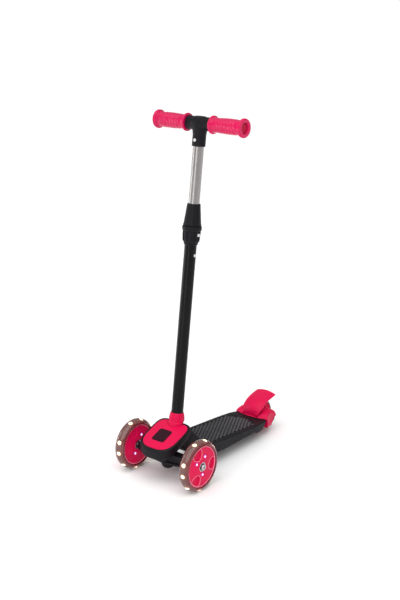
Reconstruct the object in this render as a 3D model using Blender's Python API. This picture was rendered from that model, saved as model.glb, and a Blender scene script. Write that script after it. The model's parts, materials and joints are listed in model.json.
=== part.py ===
"""A child's three-wheeled lean-to-steer kick scooter, in metres.

+Z is up, the scooter heads for -Y and its deck runs towards +Y. The origin is on the ground, in the
middle of the scooter's length and width. Along Y, places are given from the front axle.
"""

import math

import bmesh
import bpy
from mathutils import Matrix, Vector

MM = 0.001
GAP = 0.3 * MM

# Wheels
FRONT_RADIUS = 60 * MM
FRONT_WIDTH = 27 * MM
HALF_TRACK = 95.6 * MM
REAR_RADIUS = 38 * MM
REAR_WIDTH = 22 * MM
WHEELBASE = 367 * MM
FRONT_AXLE_Y = (FRONT_RADIUS - REAR_RADIUS - WHEELBASE) / 2

# Stem and handlebar
STEM_LEAN = math.radians(7.44)
STEM_FOOT = Vector((0, FRONT_AXLE_Y + 38.6 * MM, 126.2 * MM))
LOWER_TUBE_RADIUS = 13.7 * MM
UPPER_TUBE_RADIUS = 12.2 * MM
TUBE_WALL = 1.2 * MM
BARREL_BOTTOM, BARREL_TOP = 412.5 * MM, 455 * MM
NUT_BOTTOM, NUT_TOP = 456 * MM, 504.6 * MM
TEE_BOTTOM, BAR_HEIGHT = 629.8 * MM, 679.8 * MM
TEE_RADIUS = 15 * MM
BAR_RADIUS = 11 * MM
GRIP_INNER, GRIP_OUTER = 33 * MM, 121.8 * MM
HEIGHT_TRAVEL = 120 * MM
HEIGHT_BUTTON_AT = 436.4 * MM
TEE_BUTTON_AT = 643.7 * MM
STOP_RIVET_AT = 389.9 * MM
BUTTON_RADIUS, BUTTON_HOLE_RADIUS = 3.5 * MM, 4.1 * MM

# Nose and its cover plate: the plane that the plate's rim lies in, over the front axle
PLATE_SLOPE = math.radians(20.67)
PLATE_HEIGHT = 112.2 * MM
PLATE_CENTRE = -5 * MM
PLATE_HALF_WIDTH, PLATE_HALF_LENGTH = 43.5 * MM, 43 * MM
PLATE_CROWN = 4.5 * MM
PLATE_SINK = 3 * MM
LIP = 5.5 * MM
NOSE_DEPTH_FRONT, NOSE_DEPTH_SLOPE = 22.6 * MM, 0.093

# Deck
DECK_HALF_WIDTH = 55 * MM
DECK_SLOPE = math.tan(math.radians(4.71))
DECK_LEVEL_AT, DECK_LEVEL = 150 * MM, 59.1 * MM
DECK_END = 334 * MM

# Truck: the beam that carries the front wheels, and the kingpin that it turns on
KINGPIN_RADIUS = 5 * MM
HUB_RADIUS = 16 * MM
HUB_BOTTOM, HUB_TOP = -34 * MM, 17 * MM
SLAB_UNDER = 24.5 * MM
AXLE_RADIUS = 3.9 * MM
BEARING_RADIUS, BEARING_WIDTH = 11 * MM, 7 * MM
FORK_HALF_WIDTH = 36.5 * MM
SLOT_HALF_WIDTH = 14.2 * MM

# Brake fender
FENDER_PIVOT = (334 * MM, 48 * MM)
FENDER_HALF_WIDTH = 28.3 * MM
FENDER_WALL = 2.6 * MM

COLOURS = {
    "pink": ((0.84, 0.010, 0.100), 0.32, 0.0),
    "pink_rubber": ((0.80, 0.012, 0.090), 0.45, 0.0),
    "black": ((0.020, 0.019, 0.022), 0.48, 0.0),
    "black_paint": ((0.012, 0.012, 0.013), 0.30, 0.2),
    "badge": ((0.060, 0.006, 0.022), 0.30, 0.0),
    "aluminium": ((0.72, 0.72, 0.73), 0.30, 1.0),
    "steel": ((0.55, 0.55, 0.56), 0.34, 1.0),
    "clear": ((0.62, 0.55, 0.54), 0.10, 0.0),
    "core": ((0.32, 0.05, 0.07), 0.30, 0.0),
    "white": ((0.80, 0.79, 0.78), 0.35, 0.0),
    "urethane": ((0.75, 0.70, 0.45), 0.50, 0.0),
}


def clear_scene():
    for old in list(bpy.data.objects):
        bpy.data.objects.remove(old, do_unlink=True)


def make_material(name):
    colour, roughness, metallic = COLOURS[name]
    material = bpy.data.materials.new(name)
    material.use_nodes = True
    shader = material.node_tree.nodes["Principled BSDF"]
    shader.inputs["Base Color"].default_value = (*colour, 1)
    shader.inputs["Roughness"].default_value = roughness
    shader.inputs["Metallic"].default_value = metallic
    material.diffuse_color = (*colour, 1)
    return material


def add_object(name, bm, material=None, parent=None):
    """Turns a bmesh into a named object whose faces point out."""
    bmesh.ops.remove_doubles(bm, verts=bm.verts, dist=1e-7)
    bmesh.ops.recalc_face_normals(bm, faces=bm.faces)
    mesh = bpy.data.meshes.new(name)
    bm.to_mesh(mesh)
    bm.free()
    mesh.shade_smooth()
    mesh.set_sharp_from_angle(angle=math.radians(35))
    piece = bpy.data.objects.new(name, mesh)
    bpy.context.scene.collection.objects.link(piece)
    if material:
        mesh.materials.append(MATERIALS[material])
    if parent:
        piece.parent = parent
    return piece


def add_empty(name, frame):
    empty = bpy.data.objects.new(name, None)
    empty.empty_display_size = 0.02
    bpy.context.scene.collection.objects.link(empty)
    empty.matrix_basis = frame
    return empty


def spun(profile, segments):
    """A solid turned from a closed outline of (radius, height) about the local Z axis."""
    bm = bmesh.new()
    verts = [bm.verts.new((radius, 0, height)) for radius, height in profile]
    closed = profile[0][0] > 0 or profile[-1][0] > 0
    edges = [bm.edges.new((a, b)) for a, b in zip(verts, verts[1:] + verts[: int(closed)])]
    bmesh.ops.spin(
        bm,
        geom=verts + edges,
        axis=(0, 0, 1),
        cent=(0, 0, 0),
        angle=math.tau,
        steps=segments,
        use_merge=True,
    )
    bmesh.ops.remove_doubles(bm, verts=bm.verts, dist=1e-6)
    bmesh.ops.dissolve_degenerate(bm, edges=bm.edges, dist=1e-6)
    return bm


def bore(radius, bottom, top, segments=22):
    """A cutter's rod, turned a little so that its edges don't line up with those of what it cuts."""
    bm = spun(rod(radius, bottom, top), segments)
    turn = Matrix.Rotation(0.37 * math.tau / segments, 4, "Z")
    bmesh.ops.transform(bm, matrix=turn, verts=bm.verts)
    return bm


def lofted(rings, split_ends=False):
    """A skin through rings of equally many points, with both ends closed.

    Ends that aren't flat are split into strips that run across from one side of the ring to the other.
    """
    bm = bmesh.new()
    rows = [[bm.verts.new(point) for point in ring] for ring in rings]
    for first, second in zip(rows, rows[1:]):
        for i in range(len(first)):
            j = (i + 1) % len(first)
            bm.faces.new((first[i], first[j], second[j], second[i]))
    for row in (rows[0], rows[-1]):
        if split_ends:
            for i in range((len(row) - 1) // 2):
                across = (row[i], row[i + 1], row[-2 - i], row[-1 - i])
                bm.faces.new(dict.fromkeys(across))
        else:
            bm.faces.new(row)
    return bm


def block(low, high):
    """A cutter's plain box between two corners."""
    bm = bmesh.new()
    size = [b - a for a, b in zip(low, high)]
    middle = [(a + b) / 2 for a, b in zip(low, high)]
    bmesh.ops.create_cube(bm, size=1, matrix=Matrix.Translation(middle) @ Matrix.Diagonal((*size, 1)))
    return bm


def rod(radius, bottom, top, chamfer=0.0):
    """An outline for spun(): a solid rod with chamfered ends."""
    return [
        (0, bottom),
        (radius - chamfer, bottom),
        (radius, bottom + chamfer),
        (radius, top - chamfer),
        (radius - chamfer, top),
        (0, top),
    ]


def sleeve(inner, outer, bottom, top, chamfer=0.0):
    """An outline for spun(): a tube with chamfered outer edges."""
    return [
        (inner, bottom),
        (outer - chamfer, bottom),
        (outer, bottom + chamfer),
        (outer, top - chamfer),
        (outer - chamfer, top),
        (inner, top),
    ]


def arc(centre, radius, start, end, steps):
    """Points on an arc, in degrees from the first coordinate towards the second."""
    turns = [math.radians(start + (end - start) * i / steps) for i in range(steps + 1)]
    return [(centre[0] + radius * math.cos(t), centre[1] + radius * math.sin(t)) for t in turns]


def boolean(piece, tool, operation="DIFFERENCE"):
    """Cuts a piece with a tool, or joins the tool to it, and hides the tool."""
    modifier = piece.modifiers.new(tool.name, "BOOLEAN")
    modifier.operation = operation
    modifier.solver = "EXACT"
    modifier.object = tool
    tool.hide_render = True
    tool.display_type = "WIRE"


def extruded(outline, low, high):
    """A solid from a (y, z) outline, drawn out along X from low to high."""
    return lofted([[(x, y, z) for y, z in outline] for x in (low, high)])


def along_x(x, y, z):
    """A frame at a point whose Z axis lies along world X."""
    return Matrix.Translation((x, y, z)) @ Matrix.Rotation(math.pi / 2, 4, "Y")


def plate_level(y):
    """Height of the plane of the cover plate's rim, at a distance behind the front axle."""
    return PLATE_HEIGHT + math.tan(PLATE_SLOPE) * y


def deck_level(y):
    return DECK_LEVEL - DECK_SLOPE * (y - DECK_LEVEL_AT)


def interpolate(stops, y):
    """Reads a value from (place, value) stops joined by straight runs."""
    for (y0, v0), (y1, v1) in zip(stops, stops[1:]):
        if y <= y1:
            return v0 + (v1 - v0) * max(0.0, (y - y0) / (y1 - y0))
    return stops[-1][1]


def plate_outline(grow, points=36):
    """The cover plate's plan outline, grown outwards: round at the front, squarer at the back."""
    outline = []
    for i in range(points):
        turn = math.tau * i / points
        c, s = math.cos(turn), math.sin(turn)
        power = 2 / (5.0 if s > 0 else 2.9)
        x = math.copysign(abs(c) ** power, c) * (PLATE_HALF_WIDTH + grow)
        y = math.copysign(abs(s) ** power, s) * (PLATE_HALF_LENGTH + grow)
        outline.append((x, PLATE_CENTRE + y))
    return outline


def nose_ring(inset, drop, share):
    """A ring round the nose: share 0 hangs it from the plate's plane, and 1 from the nose's underside."""
    ring = []
    for x, y in plate_outline(LIP - inset):
        depth = NOSE_DEPTH_FRONT - NOSE_DEPTH_SLOPE * y
        ring.append((x, FRONT_AXLE_Y + y, plate_level(y) - drop - share * depth))
    return ring


def deck_section(y, half_width, top, bottom, top_round, bottom_round):
    """A cross-section of the deck with rounded corners, as a ring in the XZ plane."""
    ring = []
    corners = [
        (half_width - top_round, top - top_round, top_round, 0),
        (top_round - half_width, top - top_round, top_round, 90),
        (bottom_round - half_width + 2 * MM, bottom + bottom_round, bottom_round, 180),
        (half_width - bottom_round - 2 * MM, bottom + bottom_round, bottom_round, 270),
    ]
    for x, z, radius, start in corners:
        ring += [(px, FRONT_AXLE_Y + y, pz) for px, pz in arc((x, z), radius, start, start + 90, 2)]
    return ring


def make_deck_skin():
    """The neck that falls from the nose, and the deck behind it."""
    tops = [(8, 105), (33, 120), (38, 118), (45, 110), (61, 93), (75, 83), (94, 73.5), (115, 62)]
    bottoms = [
        (8, 84), (18, 76), (30, 66), (60, 48), (90, 36), (125, 31), (156, 28.4),
        (262, 28.6), (276, 27.5), (290, 24.4), (302, 22.6), (334, 22),
    ]
    widths = [(8, 43), (30, 46), (60, 50), (100, 54), (150, 55), (272, 55), (300, 53.5), (320, 50.5), (334, 46)]
    places = sorted({y for stops in (tops, bottoms, widths) for y, _ in stops} | {190, 230})
    rings = []
    for y in places:
        top = interpolate(tops, y) * MM if y < 115 else deck_level(y * MM)
        width = interpolate(widths, y) * MM
        bottom = interpolate(bottoms, y) * MM
        rings.append(deck_section(y * MM, width, top, bottom, 2.5 * MM, 6 * MM))
    return lofted(rings)


def fork_outline():
    """Side outline of the fork arms, which the rear axle runs through."""
    centre = (365 * MM, 39 * MM)
    outline = [(318 * MM, 26 * MM), (350 * MM, 22.6 * MM)]
    outline += arc(centre, 16.4 * MM, -85, 75, 12)
    outline += [(352 * MM, 54.5 * MM), (342 * MM, 51.5 * MM), (334 * MM, 42 * MM), (318 * MM, 42 * MM)]
    return [(FRONT_AXLE_Y + y, z) for y, z in outline]


def cover_envelope(grow):
    """The rear cover's outer shape: a bowed front edge, a raised back and rounded ends."""
    stations = [
        (322, 50, 46.3, 22), (329.6, 48.6, 51.6, 22), (336, 46.5, 55, 22), (345, 44, 58, 21), (355, 42, 59.4, 19.6),
        (365, 40.8, 59.2, 19), (374, 40.2, 56.6, 21.6), (380.5, 39.8, 51.6, 26.5), (384.3, 39.4, 45.5, 32.5),
    ]
    rings = []
    for i, (y, half, top, bottom) in enumerate(stations):
        ends = -grow if i == 0 else grow * (i == len(stations) - 1)
        bow = 12 * MM * (1 - i / 4) ** 2 if i < 4 else 0
        half, top, bottom = half * MM + grow, top * MM + grow, bottom * MM - grow
        ring = []
        section = [(half, bottom), (half, top - 7 * MM)]
        section += arc((half - 6 * MM, top - 7.5 * MM), 6 * MM, 15, 75, 3)
        section += [(half * share, top - 1.5 * MM * share * share) for share in (0.78, 0.52, 0.26, 0, -0.26, -0.52, -0.78)]
        section += [(-x, z) for x, z in arc((half - 6 * MM, top - 7.5 * MM), 6 * MM, 75, 15, 3)]
        section += [(-half, top - 7 * MM), (-half, bottom)]
        for x, z in section:
            ring.append((x, FRONT_AXLE_Y + y * MM + ends + bow * (x / half) ** 2, z))
        rings.append(ring)
    return lofted(rings, split_ends=True)


def make_deck_body():
    body = add_object("deck_body", make_deck_skin(), "black")
    rings = [
        nose_ring(4.5 * MM, 1.2 * MM, 0),
        nose_ring(3.4 * MM, 0.2 * MM, 0),
        nose_ring(1.8 * MM, 0.3 * MM, 0),
        nose_ring(0.5 * MM, 1.4 * MM, 0),
        nose_ring(0, 3.2 * MM, 0),
        nose_ring(0.5 * MM, 10 * MM, 0),
        nose_ring(2.0 * MM, -2.5 * MM, 1),
        nose_ring(4.0 * MM, 0, 1),
    ]
    boolean(body, add_object("nose", lofted(rings)), "UNION")
    boolean(body, add_object("cover_space", cover_envelope(GAP)))
    boolean(body, add_object("fork", extruded(fork_outline(), -FORK_HALF_WIDTH, FORK_HALF_WIDTH)), "UNION")
    boss = spun([(0, -42 * MM), (21.5 * MM, -42 * MM), (21.5 * MM, -20 * MM), (19.5 * MM, -1 * MM), (0, -1 * MM)], 26)
    boolean(body, add_object("stem_boss", boss, parent=STEM), "UNION")

    recess = [[(x, FRONT_AXLE_Y + y, plate_level(y) + dz) for x, y in plate_outline(GAP)] for dz in (-PLATE_SINK, 20 * MM)]
    boolean(body, add_object("plate_recess", lofted(recess)))
    boolean(body, add_object("socket_seat", bore(20.3 * MM, -0.8 * MM, 60 * MM, 30), parent=STEM))
    boolean(body, add_object("stem_hole", bore(LOWER_TUBE_RADIUS + GAP, -40 * MM, 40 * MM, 32), parent=STEM))
    boolean(body, add_object("stem_bolt_hole", bore(5 * MM, -150 * MM, -5 * MM, 16), parent=STEM))
    boolean(body, add_object("kingpin_hole", bore(8.6 * MM, 5 * MM, 38 * MM), parent=KINGPIN))
    cut_underside(body)
    cut_wheel_slot(body)
    boolean(body, add_object("rear_axle_hole", bore(AXLE_RADIUS + GAP, -60 * MM, 60 * MM), parent=REAR_AXLE))
    return body


def cut_underside(body):
    """Pockets from below, between the ribs that stiffen the deck."""
    columns = [(-47, -18), (-14.5, 14.5), (18, 47)]
    rows = [(118, 150), (154, 192), (196, 234), (238, 276), (280, 308)]
    for i, (x0, x1) in enumerate(columns):
        for j, (y0, y1) in enumerate(rows):
            roof = deck_level(y1 * MM) - 4 * MM
            low = (x0 * MM, FRONT_AXLE_Y + y0 * MM, 0)
            high = (x1 * MM, FRONT_AXLE_Y + y1 * MM, roof)
            boolean(body, add_object(f"pocket_{i}_{j}", block(low, high)))


def cut_wheel_slot(piece):
    """Room in the deck or in the rear cover for the wheel, the brake's ears and its pins."""
    low = (-SLOT_HALF_WIDTH, FRONT_AXLE_Y + WHEELBASE - REAR_RADIUS - 1.3 * MM, -10 * MM)
    high = (SLOT_HALF_WIDTH, FRONT_AXLE_Y + 420 * MM, 120 * MM)
    boolean(piece, add_object(f"{piece.name}_wheel_slot", block(low, high)))
    low = (-24.8 * MM, FRONT_AXLE_Y + 325.8 * MM, 40.5 * MM)
    high = (24.8 * MM, FRONT_AXLE_Y + 347 * MM, 120 * MM)
    boolean(piece, add_object(f"{piece.name}_ear_room", block(low, high)))
    hole = add_object(f"{piece.name}_pin_hole", bore(2.8 * MM, -34.3 * MM, 34.3 * MM, 16), parent=FENDER_HINGE)
    boolean(piece, hole)


def make_front_cover():
    """The domed plate: its rim lies in a plane and its middle is raised."""
    bm = bmesh.new()
    base = [bm.verts.new((x, FRONT_AXLE_Y + y, plate_level(y) - PLATE_SINK + GAP)) for x, y in plate_outline(0)]
    rows = [base]
    for share in (1.0, 0.985, 0.93, 0.8, 0.6, 0.35):
        rise = PLATE_CROWN * (1 - share**2.2) - (1.2 * MM if share == 1.0 else 0)
        row = []
        for x, y in plate_outline(0):
            px, py = x * share, PLATE_CENTRE + (y - PLATE_CENTRE) * share
            row.append(bm.verts.new((px, FRONT_AXLE_Y + py, plate_level(py) + rise)))
        rows.append(row)
    for first, second in zip(rows, rows[1:]):
        for i in range(len(first)):
            j = (i + 1) % len(first)
            bm.faces.new((first[i], first[j], second[j], second[i]))
    top = bm.verts.new((0, FRONT_AXLE_Y + PLATE_CENTRE, plate_level(PLATE_CENTRE) + PLATE_CROWN))
    for i, vert in enumerate(rows[-1]):
        bm.faces.new((vert, rows[-1][(i + 1) % len(rows[-1])], top))
    bm.faces.new(base[::-1])
    cover = add_object("front_cover", bm, "pink")
    boolean(cover, add_object("socket_room", bore(20.3 * MM, -40 * MM, 60 * MM, 36), parent=STEM))
    boolean(cover, add_object("badge_room", badge_block(GAP, -1.4 * MM, 12 * MM)))
    return cover


def badge_block(grow, low, high):
    """A rounded square, sunk in the cover plate's middle."""
    half, centre, corner = 17.5 * MM + grow, -13 * MM, 5 * MM
    corners = [(half - corner, half - corner, 0), (corner - half, half - corner, 90)]
    corners += [(corner - half, corner - half, 180), (half - corner, corner - half, 270)]
    outline = [p for x, y, start in corners for p in arc((x, y), corner, start, start + 90, 3)]
    base = plate_level(centre) + PLATE_CROWN
    slope = math.tan(PLATE_SLOPE)
    return lofted([[(x, FRONT_AXLE_Y + centre + y, base + slope * y + dz) for x, y in outline] for dz in (low, high)])


def make_stem():
    socket = [
        (LOWER_TUBE_RADIUS + GAP, -0.5 * MM), (18.6 * MM, -0.5 * MM), (19.2 * MM, 0.8 * MM), (18.6 * MM, 8 * MM),
        (17.6 * MM, 15 * MM), (16.4 * MM, 20 * MM), (15.2 * MM, 23.4 * MM), (LOWER_TUBE_RADIUS + GAP, 24.4 * MM),
    ]
    add_object("stem_socket", spun(socket, 28), "pink", STEM)

    tube = sleeve(LOWER_TUBE_RADIUS - TUBE_WALL, LOWER_TUBE_RADIUS, -39 * MM, 478 * MM, 0.3 * MM)
    lower = add_object("lower_tube", spun(tube, 28), "black_paint", STEM)
    add_side_hole(lower, "height_hole", HEIGHT_BUTTON_AT, BUTTON_HOLE_RADIUS)
    add_side_hole(lower, "rivet_hole", STOP_RIVET_AT, 2.3 * MM)
    insert = spun(rod(LOWER_TUBE_RADIUS - TUBE_WALL - GAP, -38 * MM, -22 * MM, 1 * MM), 24)
    insert = add_object("stem_insert", insert, "steel", STEM)
    boolean(insert, add_object("insert_bore", bore(4.3 * MM, -60 * MM, 0, 16), parent=STEM))
    bolt = [(0, -66 * MM), (4 * MM, -66 * MM), (4 * MM, -24 * MM), (0, -24 * MM)]
    add_object("stem_bolt", spun(bolt, 16), "steel", STEM)
    head = [(0, -72 * MM), (7.5 * MM, -72 * MM), (8 * MM, -71 * MM), (8 * MM, -66.3 * MM), (0, -66.3 * MM)]
    add_object("stem_bolt_head", spun(head, 6), "steel", STEM)

    rivet = [
        (0, 12.7 * MM), (2 * MM, 12.7 * MM), (2 * MM, 14 * MM), (3.6 * MM, 14 * MM),
        (3.3 * MM, 15 * MM), (2 * MM, 15.6 * MM), (0, 15.8 * MM),
    ]
    add_object("stop_rivet", spun(rivet, 16), "white", side_frame("rivet_frame", STOP_RIVET_AT))


def side_frame(name, height):
    """An empty on the stem's axis whose Z axis points out of the stem's right-hand side."""
    frame = STEM.matrix_basis @ Matrix.Translation((0, 0, height)) @ Matrix.Rotation(math.pi / 2, 4, "Y")
    return add_empty(name, frame)


def add_side_hole(piece, name, height, radius):
    hole = bore(radius, 4 * MM, 40 * MM, 16)
    boolean(piece, add_object(f"{piece.name}_{name}", hole, parent=side_frame(f"{name}_{piece.name}_frame", height)))


def make_clamp():
    """The height collar: a ribbed barrel on the lower tube, and a faceted nut that squeezes the collet."""
    inner = LOWER_TUBE_RADIUS + GAP
    barrel = [
        (inner, BARREL_BOTTOM), (14.6 * MM, BARREL_BOTTOM), (17.6 * MM, BARREL_BOTTOM + 4 * MM),
        (19.6 * MM, BARREL_BOTTOM + 12 * MM), (20.6 * MM, BARREL_BOTTOM + 33 * MM), (21.9 * MM, BARREL_BOTTOM + 36 * MM),
        (21.9 * MM, BARREL_TOP - 1 * MM), (21.2 * MM, BARREL_TOP), (inner, BARREL_TOP),
    ]
    barrel = add_object("clamp_barrel", spun(barrel, 26), "black", STEM)
    for i in range(8):
        turn = Matrix.Rotation(math.tau * (i + 0.5) / 8, 4, "Z")
        bm = block((17 * MM, -2.2 * MM, BARREL_BOTTOM + 7 * MM), (21.6 * MM, 2.2 * MM, BARREL_TOP - 3 * MM))
        bmesh.ops.transform(bm, matrix=turn, verts=bm.verts)
        boolean(barrel, add_object(f"barrel_rib_{i}", bm, parent=STEM), "UNION")
    add_side_hole(barrel, "button_hole", HEIGHT_BUTTON_AT, BUTTON_HOLE_RADIUS)

    nut = [
        (14.3 * MM, NUT_BOTTOM), (20.4 * MM, NUT_BOTTOM), (20.6 * MM, NUT_BOTTOM + 2 * MM),
        (20.0 * MM, NUT_BOTTOM + 4 * MM), (15.2 * MM, NUT_TOP - 2 * MM), (14.4 * MM, NUT_TOP),
        (UPPER_TUBE_RADIUS + GAP, NUT_TOP), (UPPER_TUBE_RADIUS + GAP, NUT_TOP - 3 * MM),
        (14.3 * MM, NUT_TOP - 6 * MM),
    ]
    add_object("clamp_nut", spun(nut, 20), "black", STEM)
    collet = sleeve(UPPER_TUBE_RADIUS + GAP, 13.7 * MM, 478.4 * MM, NUT_TOP - 8 * MM, 0.3 * MM)
    collet = add_object("clamp_collet", spun(collet, 28), "white", STEM)
    slit = block((-0.6 * MM, -30 * MM, 480 * MM), (0.6 * MM, 0, 520 * MM))
    boolean(collet, add_object("collet_slit", slit, parent=STEM))

    frame = side_frame("height_button_axis", HEIGHT_BUTTON_AT)
    button = [
        (0, 12.6 * MM), (BUTTON_RADIUS, 12.6 * MM), (BUTTON_RADIUS, 21.6 * MM), (2.8 * MM, 22.8 * MM), (0, 23.2 * MM),
    ]
    add_object("height_button", spun(button, 20), "white", frame)


def make_upper_stem():
    """What slides in the lower tube: the upper tube, the tee, the handlebar and its grips."""
    tube = sleeve(UPPER_TUBE_RADIUS - TUBE_WALL, UPPER_TUBE_RADIUS, 378 * MM, 662 * MM, 0.3 * MM)
    upper = add_object("upper_tube", spun(tube, 28), "aluminium", STEM)
    for i in range(3):
        add_side_hole(upper, f"height_hole_{i}", HEIGHT_BUTTON_AT + HEIGHT_TRAVEL * i / 2, BUTTON_HOLE_RADIUS)

    across = Matrix.Rotation(math.pi / 2, 4, "Y")
    bar_frame = add_empty("bar_axis", STEM.matrix_basis @ Matrix.Translation((0, 0, BAR_HEIGHT)) @ across)
    tee = [
        (0, TEE_BOTTOM), (14.2 * MM, TEE_BOTTOM), (15 * MM, TEE_BOTTOM + 1 * MM),
        (15 * MM, BAR_HEIGHT - 24 * MM), (17.5 * MM, BAR_HEIGHT - 12 * MM), (17.5 * MM, BAR_HEIGHT - 6 * MM), (0, BAR_HEIGHT - 6 * MM),
    ]
    tee = add_object("handle_tee", spun(tee, 26), "black", STEM)
    end = GRIP_INNER - GAP
    sleeve_outline = [
        (0, -end), (14.6 * MM, -end), (TEE_RADIUS, -end + 1 * MM), (TEE_RADIUS, -18 * MM), (16 * MM, -10 * MM),
        (16 * MM, 10 * MM), (TEE_RADIUS, 18 * MM), (TEE_RADIUS, end - 1 * MM), (14.6 * MM, end), (0, end),
    ]
    boolean(tee, add_object("tee_sleeve", spun(sleeve_outline, 26), parent=bar_frame), "UNION")
    boolean(tee, add_object("tee_bar_bore", bore(BAR_RADIUS + GAP, -60 * MM, 60 * MM, 24), parent=bar_frame))
    boolean(tee, add_object("tee_tube_bore", bore(UPPER_TUBE_RADIUS + GAP, 600 * MM, 663 * MM, 24), parent=STEM))
    front = STEM.matrix_basis @ Matrix.Translation((0, 0, TEE_BUTTON_AT)) @ Matrix.Rotation(math.pi / 2, 4, "X")
    front_frame = add_empty("tee_button_axis", front)
    for piece in (tee, upper):
        cutter = bore(BUTTON_HOLE_RADIUS, 5 * MM, 30 * MM, 16)
        hole = add_object(f"{piece.name}_front_hole", cutter, parent=front_frame)
        boolean(piece, hole)
    button = [
        (0, 8.8 * MM), (BUTTON_RADIUS, 8.8 * MM), (BUTTON_RADIUS, 15.8 * MM), (2.9 * MM, 16.8 * MM), (0, 17.2 * MM),
    ]
    add_object("tee_button", spun(button, 20), "white", front_frame)
    leaf = [(-3 * MM, 5.4 * MM), (3 * MM, 5.4 * MM), (3 * MM, 6 * MM), (-3 * MM, 6 * MM)]
    leaf_rings = [[(x, y, z) for x, z in leaf] for y in (-24 * MM, 6 * MM)]
    add_object("tee_spring", lofted(leaf_rings), "steel", front_frame)

    bar = sleeve(BAR_RADIUS - 1.5 * MM, BAR_RADIUS, -112 * MM, 112 * MM, 0.3 * MM)
    add_object("handlebar", spun(bar, 22), "steel", bar_frame)
    for side, name in ((-1, "left"), (1, "right")):
        make_grip(side, name, bar_frame)


def make_grip(side, name, bar_frame):
    bore = BAR_RADIUS + GAP
    outline = [
        (bore, GRIP_INNER), (17.5 * MM, GRIP_INNER), (20 * MM, GRIP_INNER + 1.5 * MM), (20 * MM, GRIP_INNER + 4 * MM),
        (18.2 * MM, GRIP_INNER + 6 * MM), (15.8 * MM, GRIP_INNER + 9 * MM), (15.8 * MM, GRIP_INNER + 18 * MM),
        (16.8 * MM, GRIP_INNER + 40 * MM), (16.4 * MM, GRIP_OUTER - 20 * MM), (15.8 * MM, GRIP_OUTER - 10 * MM),
        (18.6 * MM, GRIP_OUTER - 7 * MM), (21 * MM, GRIP_OUTER - 5.4 * MM), (21 * MM, GRIP_OUTER - 2 * MM),
        (19 * MM, GRIP_OUTER), (13.5 * MM, GRIP_OUTER), (12.6 * MM, GRIP_OUTER - 2.5 * MM), (bore, GRIP_OUTER - 2.5 * MM),
    ]
    outline = [(radius, side * height) for radius, height in outline]
    add_object(f"grip_{name}", spun(outline, 26), "pink_rubber", bar_frame)
    plug = [
        (0, 104 * MM), (9.2 * MM, 104 * MM), (9.2 * MM, 112.3 * MM), (11 * MM, 112.3 * MM),
        (11 * MM, 117.4 * MM), (10 * MM, 118 * MM), (0, 118 * MM),
    ]
    add_object(f"bar_plug_{name}", spun([(r, side * h) for r, h in plug], 24), "black", bar_frame)


def make_truck():
    """The beam with its round hub, the kingpin through it, and the urethane bushings."""
    hub = [
        (0, HUB_BOTTOM), (9 * MM, HUB_BOTTOM), (13.5 * MM, HUB_BOTTOM + 1.8 * MM), (HUB_RADIUS, HUB_BOTTOM + 6 * MM),
        (HUB_RADIUS, HUB_TOP - 1 * MM), (15 * MM, HUB_TOP), (0, HUB_TOP),
    ]
    beam = add_object("truck_beam", spun(hub, 24), "black", KINGPIN)
    for side in (-1, 1):
        rings = []
        for x, half, low, high in ((4, 11, 41, 70), (30, 10.5, 42.5, 70), (60, 9, 46, 69), (72, 8, 50, 68)):
            inner = half - 4.2
            outline = [
                (-half, low), (half, low), (half, low + 5), (inner, low + 6.5), (inner, high - 6),
                (half, high - 4.5), (half, high), (-half, high), (-half, high - 4.5), (-inner, high - 6),
                (-inner, low + 6.5), (-half, low + 5),
            ]
            rings.append([(side * x * MM, FRONT_AXLE_Y + y * MM, z * MM) for y, z in outline])
        boolean(beam, add_object(f"arm_{side}", lofted(rings)), "UNION")
        knuckle = [(0, 62 * MM), (11 * MM, 62 * MM), (11 * MM, 76 * MM), (9 * MM, 80 * MM), (0, 80 * MM)]
        knuckle = add_object(f"knuckle_{side}", spun([(r, side * h) for r, h in knuckle], 18), parent=FRONT_AXLE)
        boolean(beam, knuckle, "UNION")
        low, high = sorted((side * 40 * MM, side * 100 * MM))
        boolean(beam, add_object(f"axle_bore_{side}", bore(AXLE_RADIUS + GAP, low, high), parent=FRONT_AXLE))
    boolean(beam, add_object("kingpin_bore", bore(KINGPIN_RADIUS + GAP, -60 * MM, 60 * MM), parent=KINGPIN))
    boolean(beam, add_object("bushing_room", bore(12.4 * MM, -60 * MM, -19.7 * MM, 28), parent=KINGPIN))

    add_object("kingpin", spun(rod(KINGPIN_RADIUS, -26.2 * MM, 36 * MM, 0.6 * MM), 20), "steel", KINGPIN)
    head = [(0, -32.5 * MM), (8.2 * MM, -32.5 * MM), (9 * MM, -31.5 * MM), (9 * MM, -26.5 * MM), (0, -26.5 * MM)]
    add_object("kingpin_head", spun(head, 6), "steel", KINGPIN)
    add_object("kingpin_nut", spun(sleeve(KINGPIN_RADIUS + 2 * GAP, 8 * MM, 27 * MM, 33 * MM, 0.5 * MM), 12), "steel", KINGPIN)
    upper = sleeve(KINGPIN_RADIUS + GAP, 13 * MM, HUB_TOP + GAP, SLAB_UNDER - GAP, 1 * MM)
    add_object("steer_bushing_upper", spun(upper, 22), "urethane", KINGPIN)
    lower = sleeve(KINGPIN_RADIUS + GAP, 11.8 * MM, -25.9 * MM, -20 * MM, 1 * MM)
    add_object("steer_bushing_lower", spun(lower, 22), "urethane", KINGPIN)


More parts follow.
